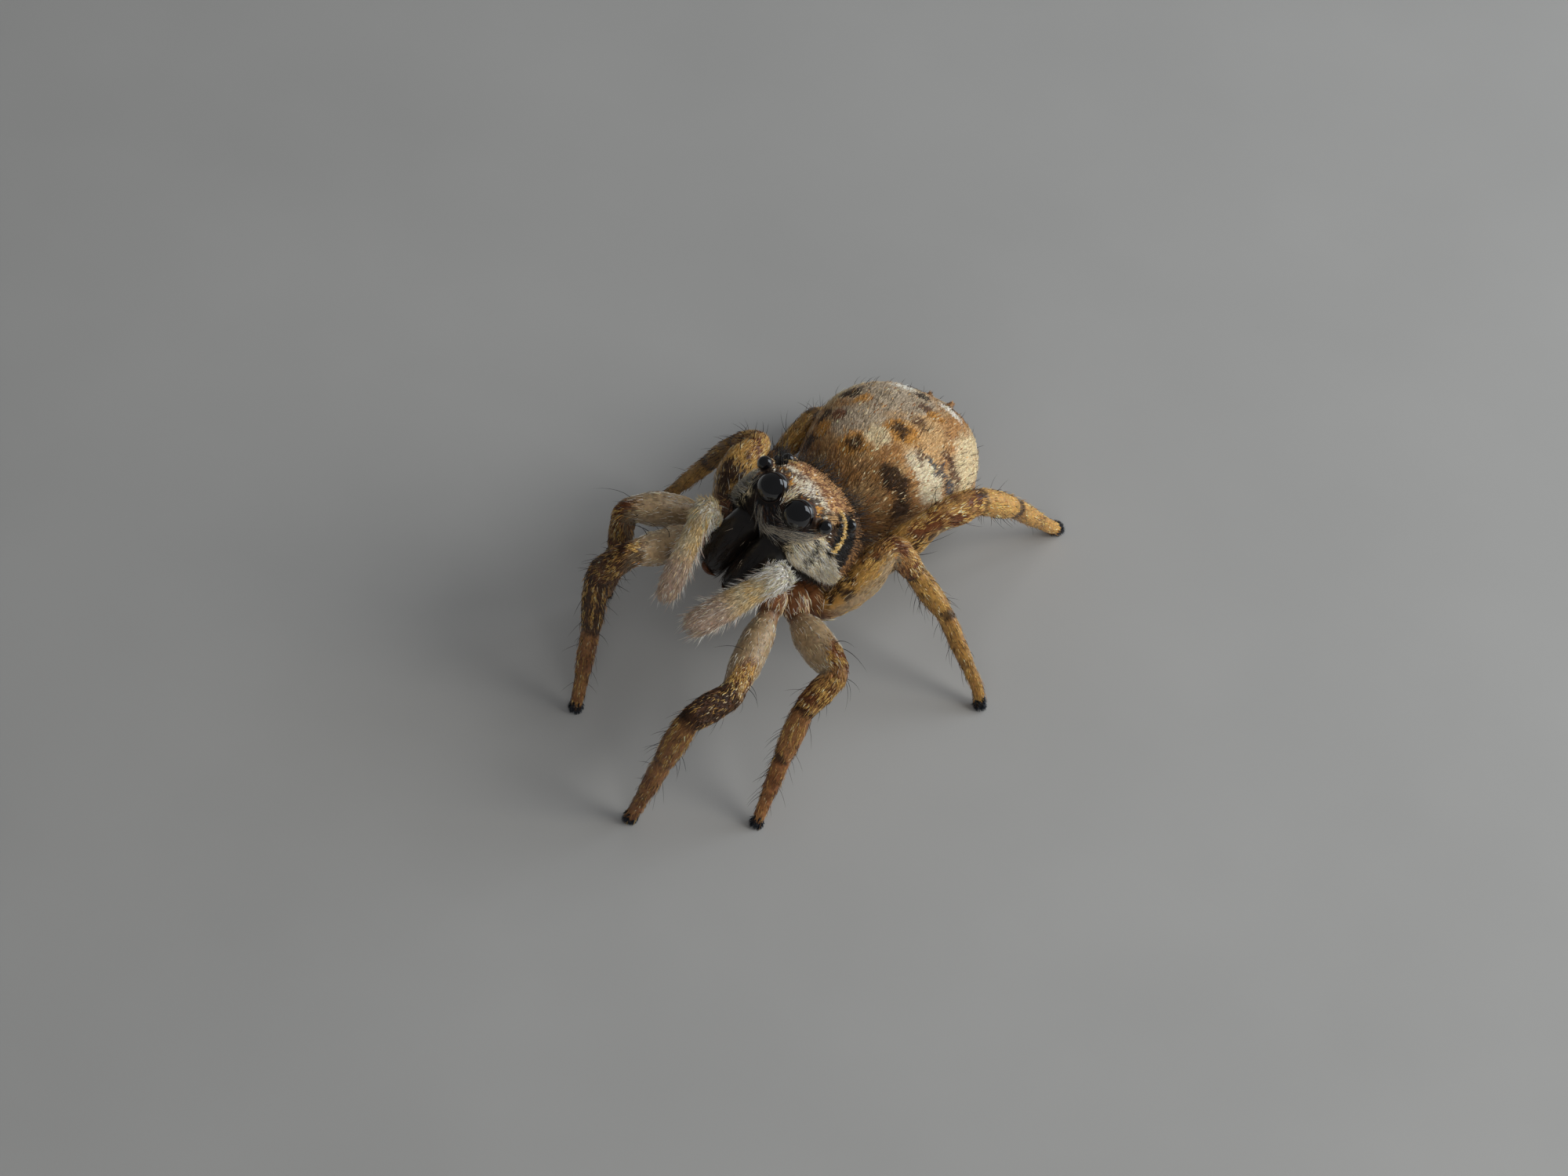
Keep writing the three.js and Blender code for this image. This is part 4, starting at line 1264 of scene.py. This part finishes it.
def shell_material(name, colour, roughness, size, coat=0.0):
    """Hard shell, claw or lens in one colour with fine unevenness."""
    made = Surface(name, Coat_Weight=coat, Coat_Roughness=0.05)
    made.tinted(size, 0.7, 1.3, colour)
    made.rough(size, roughness * 0.8, roughness * 1.25)
    made.bumped(size * 0.3, 4, 0.0015 * roughness / 0.3)
    return made.material


# ---- building the animal ----
def smooth_shaded(thing):
    thing.data.polygons.foreach_set("use_smooth", np.ones(len(thing.data.polygons), bool))
    return thing


def finish_piece(thing, slot, material, nodes=()):
    if not thing.data.materials:
        thing.data.materials.append(material)
    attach(thing, ROOT)
    if nodes:
        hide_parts(*nodes)


def scaled_down(thing):
    """A mesh made in millimetres brought to metres."""
    thing.data.transform(Matrix.Scale(MM, 4))
    return smooth_shaded(thing)


# Skin: roughness, how translucent, and how deep in millimetres. Coat: name, roughness, sheen and highlight.
SKIN_MATERIALS = {"body": (0.5, 0.1, 0.04), "limb": (0.36, 0.55, 0.09), "palp": (0.45, 0.5, 0.08)}
COAT_MATERIALS = {"scales": ("scales", 0.45, 0.06, 0.35), "bristles": ("bristles", 0.4, 0.05),
                  "palp": ("palp_hair", 0.5, 0.15, 0.35)}
LENS_COLOUR = (0.003, 0.003, 0.004)


def build_spider():
    forms = body_forms()
    skin, tree, owner = make_skin(forms)
    for kind, values in SKIN_MATERIALS.items():
        skin.data.materials.append(cuticle_material(f"cuticle_{kind}", *values))
    kind_of = np.array([{"leg": 1, "palp": 2}.get(form.name.split("_")[0], 0) for form in forms])
    first_corner = np.array([face.vertices[0] for face in skin.data.polygons])
    skin.data.polygons.foreach_set("material_index", kind_of[owner[first_corner]].astype(np.int32))
    smooth_shaded(skin)
    hard = [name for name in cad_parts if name.startswith(("eye_", "chelicera_"))]
    finish_piece(skin, "carapace", None, [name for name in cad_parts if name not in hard])

    rng = np.random.default_rng(SEED)
    beds = [Bed(form, tree, rng) for form in forms]
    named = {bed.form.name: bed for bed in beds}
    coats = carapace_coat(named["carapace"])
    coats |= socket_coat([bed for bed in beds if bed.form.name == "socket"])
    coats |= abdomen_coat(named["abdomen"])
    for side_name in SIDES:
        coats |= palp_coat(named[f"palp_{side_name}"])
    for name in LEGS:
        coats |= leg_coat(named[f"leg_{name}"])
    coats |= belly_coat([bed for bed in beds if bed.form.name in ("sternum", "mouth", "mound", "nozzle")])
    looks = {slot: coat_material(*values) for slot, values in COAT_MATERIALS.items()}
    for name, (coat, slot) in coats.items():
        finish_piece(coat.made(name), slot, looks[slot])

    eyes, rims = make_eyes()
    jaws, fangs, jaw_hairs = make_jaws(rng)
    shell = shell_material("jaw_shell", HUE["black"] * 1.4, 0.36, 0.05, coat=0.4)
    lens = shell_material("eye_lens", LENS_COLOUR, 0.05, 0.2, coat=1.0)
    finish_piece(scaled_down(eyes), "eye", lens, [name for name in hard if name.startswith("eye_")])
    finish_piece(scaled_down(rims), "eye", shell_material("eye_rim", HUE["dark"] * 0.6, 0.35, 0.03))
    finish_piece(scaled_down(jaws), "jaw", shell, [name for name in hard if name.startswith("chelicera_")])
    finish_piece(scaled_down(fangs), "jaw", shell_material("fang", HUE["rust"] * 0.5, 0.2, 0.04, coat=0.5))
    finish_piece(jaw_hairs, "bristles", looks["bristles"])
    finish_piece(scaled_down(make_claws()), "foot", shell_material("claw", HUE["black"], 0.3, 0.02))


# ---- floor, light and camera ----
FLOOR_SIZE = 400  # millimetres
FLOOR_COLOUR = (0.43, 0.435, 0.435)


def make_floor():
    half = FLOOR_SIZE / 2
    corners = [[-half, -half, 0], [half, -half, 0], [half, half, 0], [-half, half, 0]]
    floor = add_mesh("floor", np.array(corners) * MM, [[0, 1, 2, 3]])
    paper = Surface("floor", Roughness=0.6)
    paper.tinted(4.0, 0.97, 1.03, FLOOR_COLOUR)
    floor.data.materials.append(paper.material)


# Lights: [name, place in millimetres, size in millimetres, watts, colour]. Only the window shows in glossy
# things, and it lights nothing else.
LIGHTS = [
    ["key", (54, 22, 40), (30, 44), 0.021, (1.0, 0.97, 0.91)],
    ["sky", (38, 53, 22), (36, 44), 0.016, (0.88, 0.94, 1.0)],
    ["window", (47, 66, 30), (54, 104), 0.04, (0.86, 0.93, 1.0)],
    ["front", (46, -68, 50), (70, 70), 0.021, (1.0, 0.98, 0.95)],
    ["top", (8, 48, 64), (60, 60), 0.011, (1.0, 0.99, 0.97)],
]
LIT_POINT = Vector((0, 0, 0.0015))
WORLD_COLOUR, WORLD_STRENGTH = (0.95, 0.97, 1.0), 0.1


def make_lights():
    for name, place, size, watts, colour in LIGHTS:
        data = bpy.data.lights.new(name, "AREA")
        data.shape = "RECTANGLE"
        data.size, data.size_y = np.array(size) * MM
        data.energy = watts
        data.color = colour
        light = placed(name, data)
        light.location = Vector(place) * MM
        light.visible_glossy, light.visible_diffuse = name == "window", name != "window"
        light.rotation_euler = (LIT_POINT - light.location).to_track_quat("-Z", "Y").to_euler()
    world = bpy.data.worlds.new("studio")
    world.use_nodes = True
    fill(world.node_tree.nodes["Background"], {"Color": (*WORLD_COLOUR, 1), "Strength": WORLD_STRENGTH})
    bpy.context.scene.world = world


CAMERA_TARGET = np.array([-0.126, -0.26, 1.0])
CAMERA_DISTANCE = 72.25
CAMERA_AZIMUTH, CAMERA_ELEVATION, CAMERA_ROLL = 26.62, 47.59, 10.44
CAMERA_LENS, SENSOR_WIDTH = 126, 36


def make_camera():
    data = bpy.data.cameras.new("camera")
    data.lens, data.sensor_width = CAMERA_LENS, SENSOR_WIDTH
    data.clip_start, data.clip_end = MM, 5
    azimuth, elevation = math.radians(CAMERA_AZIMUTH), math.radians(CAMERA_ELEVATION)
    back = Vector((math.sin(azimuth) * math.cos(elevation), -math.cos(azimuth) * math.cos(elevation),
                   math.sin(elevation)))
    turned = back.to_track_quat("Z", "Y").to_matrix() @ Matrix.Rotation(math.radians(CAMERA_ROLL), 3, "Z")
    camera = placed("camera", data)
    camera.matrix_world = Matrix.LocRotScale(
        Vector(CAMERA_TARGET + CAMERA_DISTANCE * np.array(back)) * MM, turned, None)
    bpy.context.scene.camera = camera


build_spider()
make_floor()
make_lights()
make_camera()
bpy.context.scene.view_settings.view_transform = "Standard"
